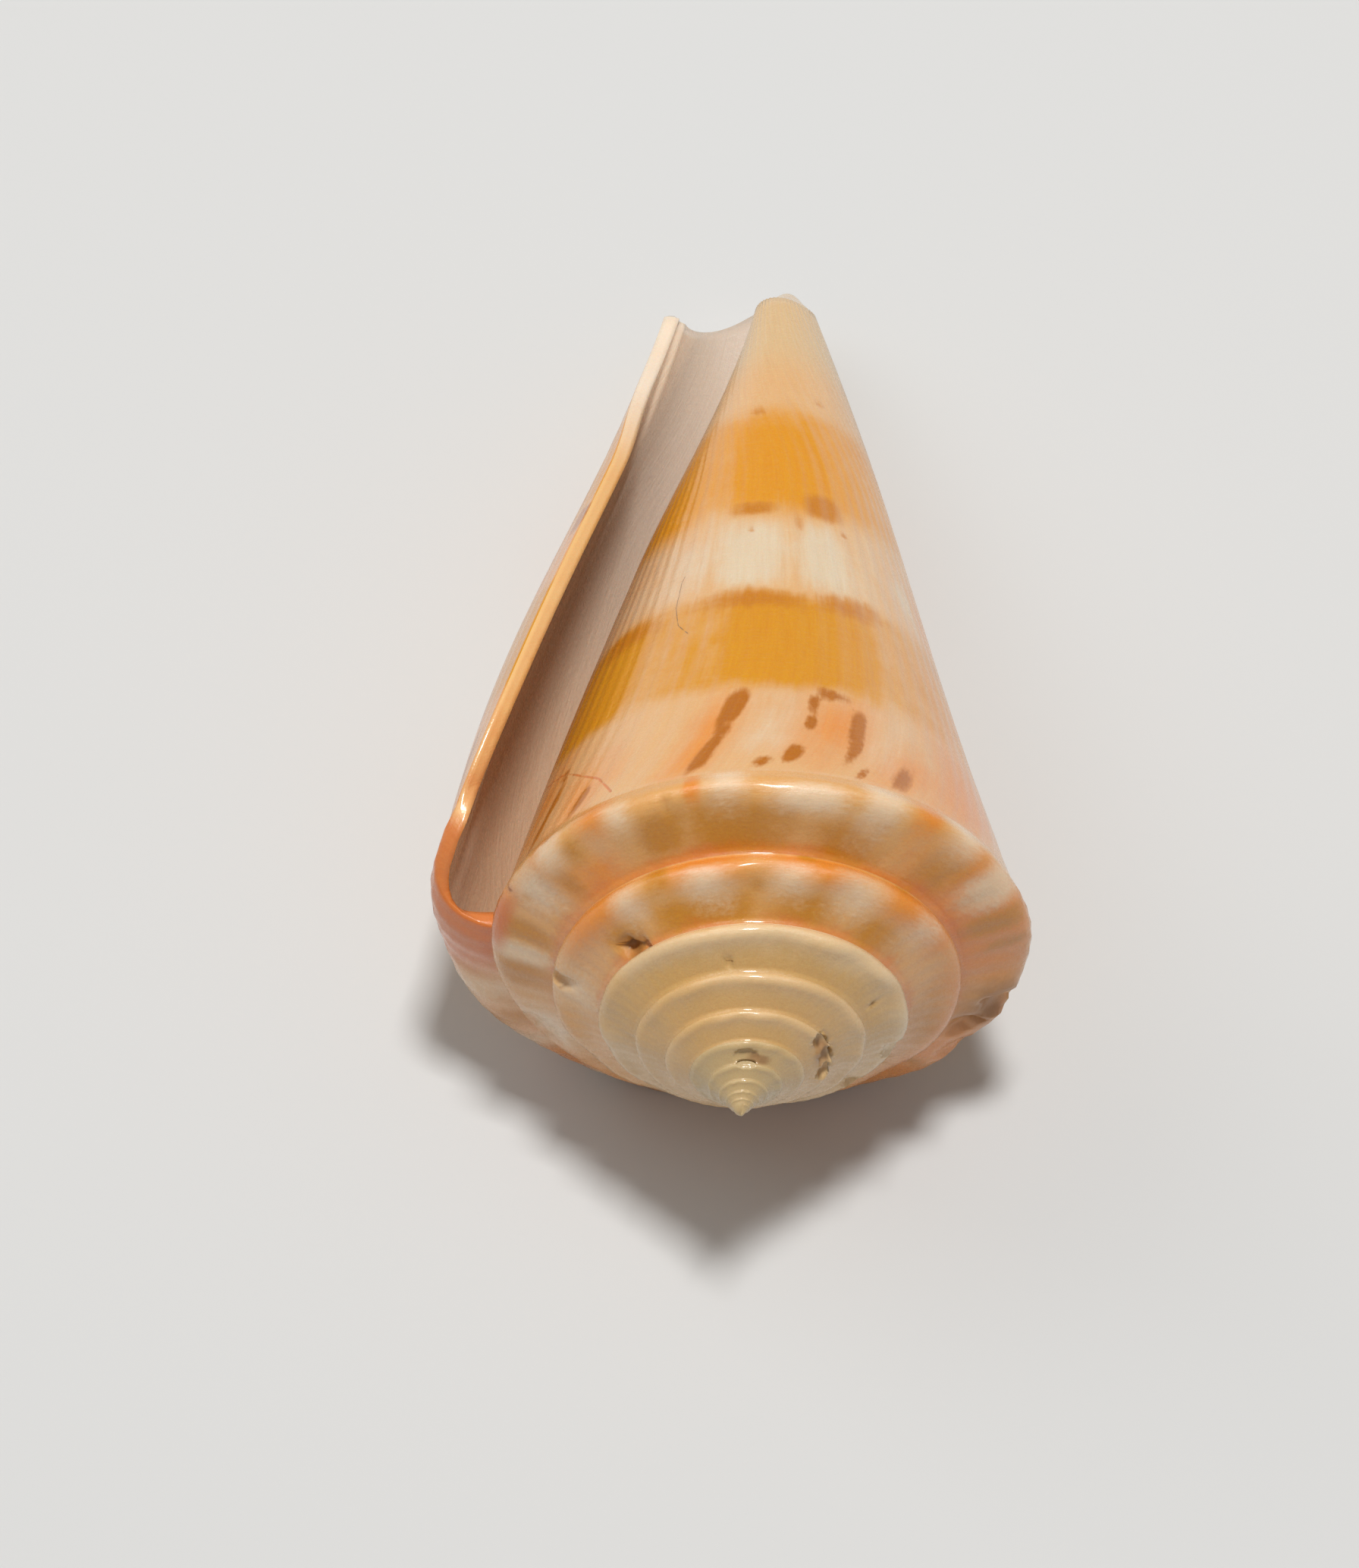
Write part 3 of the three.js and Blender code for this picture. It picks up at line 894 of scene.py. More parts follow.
# Rows of marks by layer and region, in the order of the fields of Mark
MARKS: dict[tuple[Layer, Region], tuple[tuple[float, ...], ...]] = {
    (Layer.OCHRE, Region.SIDE): (
        (0.815, 3.625, 0.1, 0.125, 0.95, 4, 1.6), (0.8, 3.64, 0.3, 0.122, 0.44, 5, 3),
        (0.98, 3.61, 0.095, 0.125, 0.7, 4, 2), (0.05, 3.63, 0.12, 0.125, 0.9, 4, 2),
        (0.3, 3.64, 0.25, 0.11, 0.6, 5, 3),
    ),
    (Layer.GOLD, Region.SIDE): (
        (0.805, 3.262, 0.082, 0.108, 0.8, 6, 2), (0.985, 3.255, 0.065, 0.105, 0.9, 6, 2),
        (0.88, 3.26, 0.16, 0.105, 0.3, 8, 4), (0.64, 3.27, 0.14, 0.105, 0.24, 8, 4),
        (0.4, 3.26, 0.2, 0.1, 0.5, 6, 3), (0.08, 3.26, 0.14, 0.11, 0.9, 6, 2),
    ),
    (Layer.WHITE, Region.SIDE): (
        (0.85, 3.437, 0.042, 0.082, 1, 4), (0.778, 3.437, 0.034, 0.085, 0.95, 4),
        (0.84, 3.44, 0.22, 0.088, 0.3, 8), (0.68, 3.43, 0.026, 0.08, 0.45, 4),
        (0.812, 3.09, 0.018, 0.07, 0.2, 4), (0.732, 3.09, 0.016, 0.07, 0.2, 4),
        (0.42, 3.43, 0.08, 0.08, 0.9, 4), (0.2, 3.43, 0.08, 0.08, 0.8, 4),
    ),
    (Layer.PINK, Region.SIDE): (
        (0.95, 3.43, 0.08, 0.09, 0.9), (0.79, 3.09, 0.1, 0.1, 0.7), (0.935, 3.08, 0.035, 0.09, 0.6),
        (0.66, 3.09, 0.05, 0.12, 0.8), (0.3, 3.09, 0.25, 0.1, 0.6),
    ),
    (Layer.PINK, Region.SPIRE): (
        (0.925, 1.3, 0.035, 1, 0.9), (0.86, 1.5, 0.015, 1.5, 0.8), (0.5, 0.9, 0.014, 1.1, 0.9),
        (0.4, 1.3, 0.05, 1, 0.8), (0.12, 1, 0.1, 1.3, 0.8), (1.93, 1, 0.04, 1, 0.8),
        (1.5, 0.9, 0.12, 1.1, 0.6),
    ),
    (Layer.DASH, Region.SIDE): (
        (0.843, 3.125, 0.0078, 0.036, 1), (0.8425, 3.055, 0.0062, 0.05, 0.85),
        (0.756, 3.105, 0.0062, 0.036, 0.95), (0.753, 3.062, 0.0048, 0.034, 0.85),
        (0.79, 3.138, 0.0044, 0.02, 0.8), (0.788, 3.1, 0.0048, 0.018, 0.9), (0.788, 3.035, 0.006, 0.02, 0.85),
        (0.802, 3.018, 0.007, 0.012, 0.7), (0.778, 3.16, 0.014, 0.014, 0.75),
        (0.74, 3.018, 0.0036, 0.014, 0.55), (0.715, 3.035, 0.006, 0.03, 0.45),
        (0.976, 3.11, 0.005, 0.014, 0.6), (0.97, 3.05, 0.0055, 0.045, 0.55), (0.928, 3.025, 0.005, 0.02, 0.6),
        (0.025, 3.08, 0.008, 0.05, 0.8), (0.01, 3.5, 0.01, 0.03, 0.8), (0.04, 3.18, 0.006, 0.04, 0.7),
    ),
    (Layer.BLOTCH, Region.SIDE): (
        (0.85, 3.532, 0.026, 0.016, 0.8), (0.77, 3.545, 0.024, 0.028, 0.95),
        (0.75, 3.502, 0.0055, 0.009, 0.8), (0.852, 3.49, 0.005, 0.008, 0.75), (0.8, 3.505, 0.006, 0.022, 0.5),
        (0.845, 3.344, 0.06, 0.022, 0.62), (0.765, 3.348, 0.04, 0.022, 0.58),
        (0.965, 3.33, 0.042, 0.024, 0.66), (0.828, 3.745, 0.014, 0.01, 0.45),
        (0.71, 3.775, 0.012, 0.01, 0.35), (0.64, 3.335, 0.03, 0.022, 0.45),
    ),
    (Layer.ORANGE, Region.SIDE): (
        (0.85, 3.07, 0.02, 0.1, 0.55), (0.768, 3.1, 0.034, 0.085, 0.5), (0.715, 3.05, 0.03, 0.07, 0.55),
        (0.935, 3.03, 0.03, 0.07, 0.45), (0.99, 3.08, 0.03, 0.1, 0.5), (0, 3, 0.05, 0.1, 0.6),
        (0.655, 3.08, 0.05, 0.12, 0.9), (0.63, 3.24, 0.09, 0.12, 0.8), (0.63, 3.42, 0.09, 0.1, 0.5),
        (0.03, 3.3, 0.07, 0.45, 0.45),
    ),
    (Layer.ORANGE, Region.SPIRE): (
        (0.79, 2.2, 0.006, 1.1, 0.9), (0.855, 2.2, 0.016, 1.2, 0.65), (0.9, 2.3, 0.014, 0.9, 0.55),
        (0.645, 2.1, 0.012, 1.2, 0.6), (0.88, 0.4, 0.03, 0.5, 0.5), (1.79, 2.1, 0.045, 1.1, 0.9),
        (1.7, 2.1, 0.06, 1.1, 0.9), (1.9, 1.9, 0.05, 1.2, 0.8), (1.6, 1.9, 0.06, 1.2, 0.9),
        (1.45, 2, 0.12, 1.2, 0.8), (1.25, 2, 0.18, 1.2, 0.7), (0.16, 1.6, 0.06, 1.8, 0.8),
        # The marks at station 0.02, near turns 0.64 and 0.78, are painted shade in the groove at the suture.
        (0.36, 1.4, 0.11, 1.8, 0.8), (0.55, 0.9, 0.09, 1.4, 1), (0.78, 0.02, 0.12, 0.14, 0.8),
        (0.64, 0.02, 0.09, 0.12, 0.7),
    ),
    # The marks on the shoulder crests, near turn 0.72 and from 1.59 to 1.86, are partly painted highlight;
    # the rest are pale streaks.
    (Layer.PALE, Region.SPIRE): (
        (0.77, 2.2, 0.014, 1.2, 0.7), (0.675, 2, 0.016, 1.4, 0.8), (0.615, 2.1, 0.016, 1.2, 0.8),
        (0.72, 1.5, 0.028, 0.55, 1), (0.575, 1.4, 0.018, 1, 1), (1.862, 1.3, 0.016, 0.9, 0.6),
        (1.79, 1.2, 0.024, 0.8, 0.7), (1.722, 1.3, 0.022, 0.8, 0.6), (1.662, 1.3, 0.024, 1, 0.6),
        (1.59, 1.2, 0.018, 0.9, 0.4), (1.99, 0.9, 0.03, 0.9, 0.5), (0.125, 1.6, 0.014, 1.6, 0.6),
        (0.18, 1.6, 0.016, 1.6, 0.7), (0.84, 1.6, 0.012, 0.7, 0.7), (0.895, 1.7, 0.014, 0.7, 0.8),
        (0.926, 1.1, 0.015, 0.8, 0.65), (0.992, 0.9, 0.012, 1, 0.9), (1.09, 1, 0.035, 0.75, 0.9),
        (0.07, 1.5, 0.01, 1.5, 0.45), (5.74, 0.3, 0.1, 0.3, 1),
    ),
    (Layer.DARK, Region.SPIRE): (
        (0.815, 0.75, 0.022, 0.6, 0.9), (0.765, 0.55, 0.042, 0.8, 1), (0.77, 1.2, 0.014, 0.55, 0.8),
        (0.735, 1.1, 0.012, 0.45, 0.6), (0.685, 0.45, 0.028, 0.6, 0.9), (0.67, 1, 0.01, 0.35, 0.6),
        (0.612, 0.7, 0.02, 0.75, 0.9), (0.575, 1, 0.008, 0.6, 0.6), (0.545, 0.9, 0.012, 1, 1),
        (0.52, 1.2, 0.006, 0.6, 0.6), (0.88, 1.2, 0.01, 0.4, 0.6), (0.9, 0.6, 0.01, 0.4, 0.5),
        (0.968, 0.9, 0.012, 0.9, 0.9), (1.018, 0.9, 0.018, 0.9, 0.9), (0.936, 1.1, 0.004, 0.2, 0.9),
        (0.1, 1.5, 0.01, 1.4, 0.8), (0.375, 0.8, 0.008, 0.8, 0.6), (0.455, 0.7, 0.03, 0.8, 0.55),
        (1.08, 1.1, 0.015, 0.6, 0.4), (0.3, 0.8, 0.03, 0.7, 0.5), (0.2, 0.8, 0.02, 0.7, 0.5),
        (1.83, 2.3, 0.012, 1, 0.8), (1.71, 2.75, 0.01, 0.5, 0.8), (1.625, 2.7, 0.008, 0.4, 0.6),
        (1.8, 0.4, 0.06, 0.5, 1), (1.7, 0.45, 0.05, 0.5, 0.9), (1.62, 0.4, 0.05, 0.45, 0.9),
        (1.745, 0.95, 0.01, 0.35, 0.5), (1.88, 0.45, 0.03, 0.45, 0.9), (1.45, 0.6, 0.07, 0.6, 0.5),
        (1.25, 0.6, 0.1, 0.6, 0.6),
    ),
    (Layer.RUST, Region.SPIRE): (
        (0, 1.45, 0.06, 1.55, 1, 3, 1.6), (0.97, 1.65, 0.035, 0.55, 1), (0.965, 2.6, 0.02, 0.9, 0.7),
    ),
    (Layer.WORN, Region.SPIRE): (
        (4.53, 1.2, 0.04, 0.6, 0.9), (5.69, 0.3, 0.04, 0.3, 0.9), (0.445, 1.1, 0.03, 0.7, 0.7),
        (1.885, 0.25, 0.012, 0.25, 0.5),
    ),
}


@dataclass(frozen=True)
class Markings:
    """Where the colours of the shell lie."""

    relief: Relief

    def field(self, layer: Layer, turn: Array, station: Array, region: Array) -> Array:
        """How deep each place lies in the marks of a layer. In a mark it is one less the distance from its
        middle, by the rounded-box norm, times the edge and held to one, times the strength. The highest
        value of all marks counts.

        Args:
            layer: the layer.
            turn: turns back from the lip.
            station: station across the wall.
            region: where on the wall.

        Returns:
            Values from -1, outside, to the strength, in the middle of a mark.
        """
        total = np.full(turn.shape, -1.0)
        for side, place in ((Region.SIDE, self.relief.growth(turn, station)), (Region.SPIRE, turn)):
            for mark in [Mark(*row) for row in MARKS.get((layer, side), ())]:
                around = np.abs(place - mark.turn) / mark.half_turn
                across = np.abs(station - mark.station) / mark.half_station
                distance = (around**mark.power + across**mark.power) ** (1 / mark.power)
                value = mark.strength * np.minimum(mark.edge * (1 - distance), 1)
                total = np.where(region == side, np.maximum(total, value), total)
        return total


Colour = tuple[float, float, float]

PINK: Colour = (228, 174, 122)
ORANGE: Colour = (236, 142, 42)
RUST: Colour = (220, 116, 44)


def linear(colour: Colour) -> tuple[float, float, float, float]:
    """A display colour of 0 to 255 as light: ((c + 0.055) / 1.055) to the power 2.4 above the linear toe.

    Args:
        colour: red, green and blue from 0 to 255.

    Returns:
        Red, green, blue and an opaque alpha.
    """
    share = np.array(colour) / 255
    light = np.where(share <= 0.04045, share / 12.92, ((share + 0.055) / 1.055) ** 2.4)
    return (*light.tolist(), 1.0)


@dataclass
class Shader:
    """Builds the nodes of one material."""

    material: bpy.types.Material

    def node(self, kind: str, inputs: dict[str | int, object], **settings: object) -> bpy.types.Node:
        """Adds a node, sets it up and feeds its inputs.

        Args:
            kind: Blender's name for the node.
            inputs: a socket to link, or a value to set, by input name or number.
            settings: other properties of the node.

        Returns:
            The node.
        """
        tree = self.material.node_tree
        node = tree.nodes.new(kind)
        for name, value in settings.items():
            setattr(node, name, value)
        for name, value in inputs.items():
            if isinstance(value, bpy.types.NodeSocket):
                tree.links.new(value, node.inputs[name])
            else:
                node.inputs[name].default_value = value
        return node

    def attribute(self, name: str) -> bpy.types.NodeSocket:
        """The value of a mesh attribute."""
        return self.node("ShaderNodeAttribute", {}, attribute_name=name).outputs["Fac"]

    def math(self, operation: str, first: object, second: object = 0.0) -> bpy.types.NodeSocket:
        """The result of one sum on two values or sockets."""
        return self.node("ShaderNodeMath", {0: first, 1: second}, operation=operation).outputs[0]

    def times(self, first: object, second: object) -> bpy.types.NodeSocket:
        """The product of two values or sockets."""
        return self.math("MULTIPLY", first, second)

    def plus(self, first: object, second: object, share: float = 1.0) -> bpy.types.NodeSocket:
        """The first value plus a share of the second."""
        return self.math("ADD", first, second if share == 1 else self.times(second, share))

    def vector(self, operation: str, first: object, second: object) -> bpy.types.Node:
        """A sum on two vectors, as its node."""
        return self.node("ShaderNodeVectorMath", {0: first, 1: second}, operation=operation)

    def step(self, value: object, low: float, high: float, peak: float = 1.0) -> bpy.types.NodeSocket:
        """Smooth step of a value, from 0 at low to the peak at high."""
        inputs = {"Value": value, "From Min": low, "From Max": high, "To Max": peak}
        return self.node("ShaderNodeMapRange", inputs, interpolation_type="SMOOTHSTEP").outputs[0]

    def stretched(self, coordinate: object, scale: Colour) -> bpy.types.NodeSocket:
        """A coordinate times a scale for each axis."""
        return self.node("ShaderNodeMapping", {"Vector": coordinate, "Scale": scale}).outputs["Vector"]

    def noise(self, vector: object, scale: float, detail: float = 3.0, rough: float = 0.5) -> object:
        """Noise about zero, from about -0.5 to 0.5, with so many finer layers on top, and so strong."""
        inputs = {"Vector": vector, "Scale": scale, "Detail": detail, "Roughness": rough}
        return self.math("SUBTRACT", self.node("ShaderNodeTexNoise", inputs).outputs["Fac"], 0.5)

    def line(self, place: object, start: Colour, end: Colour) -> bpy.types.NodeSocket:
        """Distance from a straight line: the length of what is left of the way from its start once the part
        along it, held to its length, is taken off.

        Args:
            place: where to read it.
            start: start of the line.
            end: end of the line.

        Returns:
            The distance's socket.
        """
        way = np.subtract(end, start)
        offset = self.vector("SUBTRACT", place, start).outputs[0]
        dot = self.vector("DOT_PRODUCT", offset, (way / (way @ way)).tolist())
        share = self.node("ShaderNodeClamp", {0: dot.outputs["Value"]}).outputs[0]
        along = self.node("ShaderNodeVectorMath", {0: way.tolist(), "Scale": share}, operation="SCALE")
        across = self.vector("SUBTRACT", offset, along.outputs[0])
        return self.node("ShaderNodeVectorMath", {0: across.outputs[0]}, operation="LENGTH").outputs["Value"]

    def mix(self, share: object, under: object, over: object, how: str = "MIX") -> bpy.types.NodeSocket:
        """A share of one colour over another, mixed in one of Blender's ways."""
        inputs = {0: share, 6: under, 7: over}
        return self.node("ShaderNodeMix", inputs, data_type="RGBA", blend_type=how).outputs[2]


@dataclass(frozen=True)
class Coat:
    """How a layer of marks is painted: its colour, the values where its edge begins and where it is full,
    its share there, and how uneven the edge is."""

    layer: Layer
    colour: Colour
    low: float
    high: float
    peak: float
    unevenness: float


@dataclass(frozen=True)
class Places:
    """Sockets that the colours are worked out from: the growth map and noises on it."""

    growth: object
    turn: object
    station: object
    wander: object
    streaks: object
    patches: object


@dataclass(frozen=True)
class ShellFinish:
    """Colours, gloss and fine grain of the shell. Colours are display colours from 0 to 255, and a step is
    the values where it begins and ends, with its peak."""

    ground: Colour = (232, 182, 124)
    tip: Colour = (226, 190, 140)
    ramp: Colour = (232, 172, 100)
    cream: Colour = (238, 206, 160)
    # Painted shade: the cream of the ramps of the cream turns, darker than their lit rims.
    cream_painted_shade: Colour = (216, 172, 106)
    cream_yellow: Colour = (222, 172, 92)
    # Painted shade: the early turns, darker and warmer toward the apex.
    early: Colour = (222, 178, 118)
    apex: Colour = (206, 178, 128)
    worn: Colour = (158, 108, 62)
    inner: Colour = (214, 196, 178)
    inner_low: Colour = (242, 208, 172)
    # Partly the lip's own pale band and partly painted light over the shaded wall just inside the lip.
    inner_lip_and_painted_light: Colour = (252, 228, 202)
    lip: Colour = (244, 192, 126)
    dirt: Colour = (96, 66, 40)
    side_coats: tuple[Coat, ...] = (
        Coat(Layer.PINK, PINK, -0.2, 0.7, 0.8, 0.5),
        Coat(Layer.ORANGE, ORANGE, -0.2, 0.7, 0.9, 0.5),
        Coat(Layer.OCHRE, (230, 152, 4), -0.10, 0.60, 1.0, 0.5),
        Coat(Layer.WHITE, (230, 206, 172), -0.12, 0.55, 1.0, 0.5),
        Coat(Layer.GOLD, (222, 148, 2), -0.08, 0.50, 1.0, 0.5),
        Coat(Layer.BLOTCH, (206, 126, 0), -0.15, 0.50, 0.95, 0.8),
        Coat(Layer.DASH, (188, 108, 0), -0.15, 0.32, 1.0, 0.9),
    )
    # The orange coat also carries painted shade in the suture groove, and the pale coat painted highlights on
    # the shoulder crests.
    spire_coats: tuple[Coat, ...] = (
        Coat(Layer.PINK, PINK, -0.2, 0.6, 0.7, 0.7),
        Coat(Layer.ORANGE, ORANGE, -0.25, 0.6, 0.9, 0.7),
        Coat(Layer.DARK, (206, 134, 18), -0.25, 0.6, 0.9, 0.8),
        Coat(Layer.PALE, (244, 214, 178), -0.3, 0.7, 0.85, 0.6),
        Coat(Layer.RUST, RUST, -0.2, 0.7, 0.9, 0.5),
    )
    streaks_in_edges: float = 0.9
    tip_step: tuple[float, ...] = (-0.3, 0.6)
    # Painted shade: the groove at the inner start of each ramp, darkened in the rust colour.
    groove_shade_step: tuple[float, ...] = (0.3, -0.1, 0.6)
    cream_step: tuple[float, ...] = (2.04, 2.36)
    cream_unevenness: float = 0.25
    rim_highlight_step: tuple[float, ...] = (0.3, 1.4)
    yellow_step: tuple[float, ...] = (-0.02, 0.12, 0.6)
    early_shade_step: tuple[float, ...] = (2.3, 3.6, 0.6)
    apex_step: tuple[float, ...] = (5.0, 6.0, 0.9)
    worn_step: tuple[float, ...] = (-0.3, 0.5, 0.7)
    inner_step: tuple[float, ...] = (3.05, 3.8)
    deep_step: tuple[float, ...] = (0.02, 0.10)
    deep_unevenness: float = 0.03
    low_lip_step: tuple[float, ...] = (3.3, 2.5, 0.85)
    speck_step: tuple[float, ...] = (0.33, 0.36, 0.45)
    patch_scale: float = 350.0
    wander_scale: float = 900.0
    speck_scale: float = 2000.0
    grain_scale: float = 6000.0
    streak_stretch: Colour = (150, 9, 1)
    fine_stretch: Colour = (420, 16, 1)
    thread_stretch: Colour = (10, 340, 1)
    line_shade: float = 0.22
    roughness: float = 0.27
    worn_roughness: tuple[float, ...] = (-0.4, 0.4, 0.3)
    coat: float = 0.6
    coat_roughness: float = 0.15
    bump: float = 0.35
    bump_distance: float = 0.00004
    glow: float = 0.14
    glow_scale: float = 0.0005
    scratch_scale: Colour = (51.0, 27.0, 0.0)
    scratch_wobble: float = 0.3
    crack_width: float = 0.05
    hair_width: float = 0.03
    crack: tuple[tuple[float, float], ...] = ((1.034, 3.150), (0.977, 3.114), (0.922, 3.053), (0.898, 3.015))
    hair: tuple[tuple[float, float], ...] = (
        (0.912, 3.450), (0.918, 3.400), (0.917, 3.350), (0.909, 3.310), (0.896, 3.285))

    def painted(self, shader: Shader, colour: object, coats: tuple[Coat, ...], uneven: object) -> object:
        """Paints layers of marks over a colour.

        Args:
            shader: the material's nodes.
            colour: the colour under them.
            coats: the layers, the lowest first.
            uneven: noise that makes their edges uneven.

        Returns:
            The colour's socket.
        """
        for coat in coats:
            value = shader.plus(shader.attribute(coat.layer.value), uneven, coat.unevenness)
            share = shader.step(value, coat.low, coat.high, coat.peak)
            colour = shader.mix(share, colour, linear(coat.colour))
        return colour

    def paint_side(self, shader: Shader, at: Places) -> object:
        """Colour of the side: bands along the turns, with marks on them, and a cream tip.

        Args:
            shader: the material's nodes.
            at: what the colour depends on.

        Returns:
            The colour's socket.
        """
        uneven = shader.plus(at.wander, at.streaks, self.streaks_in_edges)
        colour = self.painted(shader, linear(self.ground), self.side_coats, uneven)
        cream = shader.step(shader.attribute(Layer.CREAM.value), *self.tip_step)
        return shader.mix(cream, colour, linear(self.tip))

    def paint_spire(self, shader: Shader, at: Places) -> object:
        """Colour of the spire: stripes along the growth lines, and worn cream on the early turns, with
        painted shade in the suture grooves, down the cream ramps and toward the apex, and painted highlight
        on the cream rims.

        Args:
            shader: the material's nodes.
            at: what the colour depends on.

        Returns:
            The colour's socket.
        """
        uneven = shader.plus(at.wander, at.streaks)
        colour = self.painted(shader, linear(self.ramp), self.spire_coats, uneven)
        place = shader.plus(at.station, at.wander)
        # Painted shade: the groove at the suture, where each ramp starts, darkened in the rust colour.
        colour = shader.mix(shader.step(place, *self.groove_shade_step), colour, linear(RUST))
        # Painted highlight and shade: the cream turns lighter on their raised rims and darker down their
        # ramps.
        rim = shader.step(place, *self.rim_highlight_step)
        cream = shader.mix(rim, linear(self.cream_painted_shade), linear(self.cream))
        cream = shader.mix(shader.step(at.patches, *self.yellow_step), cream, linear(self.cream_yellow))
        # Painted shade: the early turns darker and warmer toward the apex, where they face away from the
        # light.
        cream = shader.mix(shader.step(at.turn, *self.early_shade_step), cream, linear(self.early))
        cream = shader.mix(shader.step(at.turn, *self.apex_step), cream, linear(self.apex))
        place = shader.plus(at.turn, at.wander, self.cream_unevenness)
        colour = shader.mix(shader.step(place, *self.cream_step), colour, cream)
        worn = shader.plus(shader.attribute(Layer.WORN.value), at.wander)
        return shader.mix(shader.step(worn, *self.worn_step), colour, linear(self.worn))

    def paint_inside(self, shader: Shader, at: Places) -> object:
        """Colour of the inside: mauve, peach toward the lip, pale on its edge and orange at its low corner.
        The pale band just inside the lip is partly its own colour and partly painted light.

        Args:
            shader: the material's nodes.
            at: what the colour depends on.

        Returns:
            The colour's socket.
        """
        colour = shader.step(at.station, *self.inner_step)
        colour = shader.mix(colour, linear(self.inner_low), linear(self.inner))
        # Partly painted light: the shaded wall just inside the lip is painted pale, over the lip's own pale
        # band.
        deep = shader.step(shader.plus(at.turn, at.wander, self.deep_unevenness), *self.deep_step)
        colour = shader.mix(deep, linear(self.inner_lip_and_painted_light), colour)
        low = shader.step(shader.plus(at.station, at.wander), *self.low_lip_step)
        lip = shader.mix(low, linear(self.lip), linear(RUST))
        return shader.mix(shader.attribute("edge"), colour, lip)

    def scratch(self, shader: Shader, at: Places, points: tuple[tuple[float, float], ...],
                width: float) -> object:
        """Share of a scratch: 0 farther than its width from a line through points, 0.8 near it.

        Args:
            shader: the material's nodes.
            at: what the place depends on.
            points: growth turns and stations along it.
            width: half its width, in the scratch scale.

        Returns:
            The share's socket.
        """
        place = shader.stretched(at.growth, self.scratch_scale)
        place = shader.vector("ADD", place, shader.times(at.wander, self.scratch_wobble)).outputs[0]
        corners = [(u * self.scratch_scale[0], v * self.scratch_scale[1], 0.0) for u, v in points]
        lines = [shader.line(place, start, end) for start, end in zip(corners, corners[1:])]
        nearest = lines[0]
        for line in lines[1:]:
            nearest = shader.math("MINIMUM", line, nearest)
        return shader.step(nearest, width, width * 0.3, 0.8)

    def build(self, name: str) -> bpy.types.Material:
        """Builds the material.

        Args:
            name: name of the material.

        Returns:
            The material.
        """
        material = bpy.data.materials.new(name)
        material.use_nodes = True
        material.node_tree.nodes.clear()
        shader = Shader(material)
        growth = shader.node("ShaderNodeUVMap", {}, uv_map="growth").outputs["UV"]
        place = shader.node("ShaderNodeTexCoord", {}).outputs["Object"]
        parts = shader.node("ShaderNodeSeparateXYZ", {0: growth})
        at = Places(
            growth=growth, turn=parts.outputs["X"], station=parts.outputs["Y"],
            wander=shader.noise(place, self.wander_scale, 4, 0.55),
            streaks=shader.noise(shader.stretched(growth, self.streak_stretch), 1, 4, 0.6),
            patches=shader.noise(place, self.patch_scale, 2))
        fine = shader.noise(shader.stretched(growth, self.fine_stretch), 1, 3, 0.6)
        threads = shader.noise(shader.stretched(growth, self.thread_stretch), 1, 2)
        grain = shader.noise(place, self.grain_scale, 3, 0.6)
        inside = shader.attribute("inside")
        side, spire = self.paint_side(shader, at), self.paint_spire(shader, at)
        colour = shader.mix(shader.attribute("spire"), side, spire)
        colour = shader.mix(inside, colour, self.paint_inside(shader, at))
        lines = shader.plus(shader.plus(at.streaks, fine), threads, 0.5)
        shade = shader.plus(0.5, lines, 0.8)
        grey = shader.node("ShaderNodeCombineColor", {0: shade, 1: shade, 2: shade}).outputs[0]
        colour = shader.mix(self.line_shade, colour, grey, "SOFT_LIGHT")
        specks = shader.step(shader.noise(place, self.speck_scale, 2), *self.speck_step)
        colour = shader.mix(specks, colour, linear(self.dirt))
        crack = self.scratch(shader, at, self.crack, self.crack_width)
        hair = self.scratch(shader, at, self.hair, self.hair_width)
        outside = shader.math("SUBTRACT", 1.0, inside)
        colour = shader.mix(shader.times(crack, outside), colour, linear(RUST))
        colour = shader.mix(shader.times(hair, outside), colour, linear(self.dirt))
        height = shader.plus(shader.plus(grain, lines, 0.7), crack, -2.0)
        bump = shader.node("ShaderNodeBump", {
            "Height": height, "Strength": self.bump, "Distance": self.bump_distance})
        worn = shader.step(shader.attribute(Layer.WORN.value), *self.worn_roughness)
        rough = shader.plus(shader.plus(self.roughness, grain, 0.25), worn)
        surface = shader.node("ShaderNodeBsdfPrincipled", {
            "Base Color": colour, "Roughness": rough, "Normal": bump.outputs[0], "Coat Weight": self.coat,
            "Coat Roughness": self.coat_roughness, "IOR": 1.5, "Subsurface Weight": self.glow,
            "Subsurface Radius": (1.0, 0.55, 0.32), "Subsurface Scale": self.glow_scale})
        shader.node("ShaderNodeOutputMaterial", {0: surface.outputs[0]})
        return material


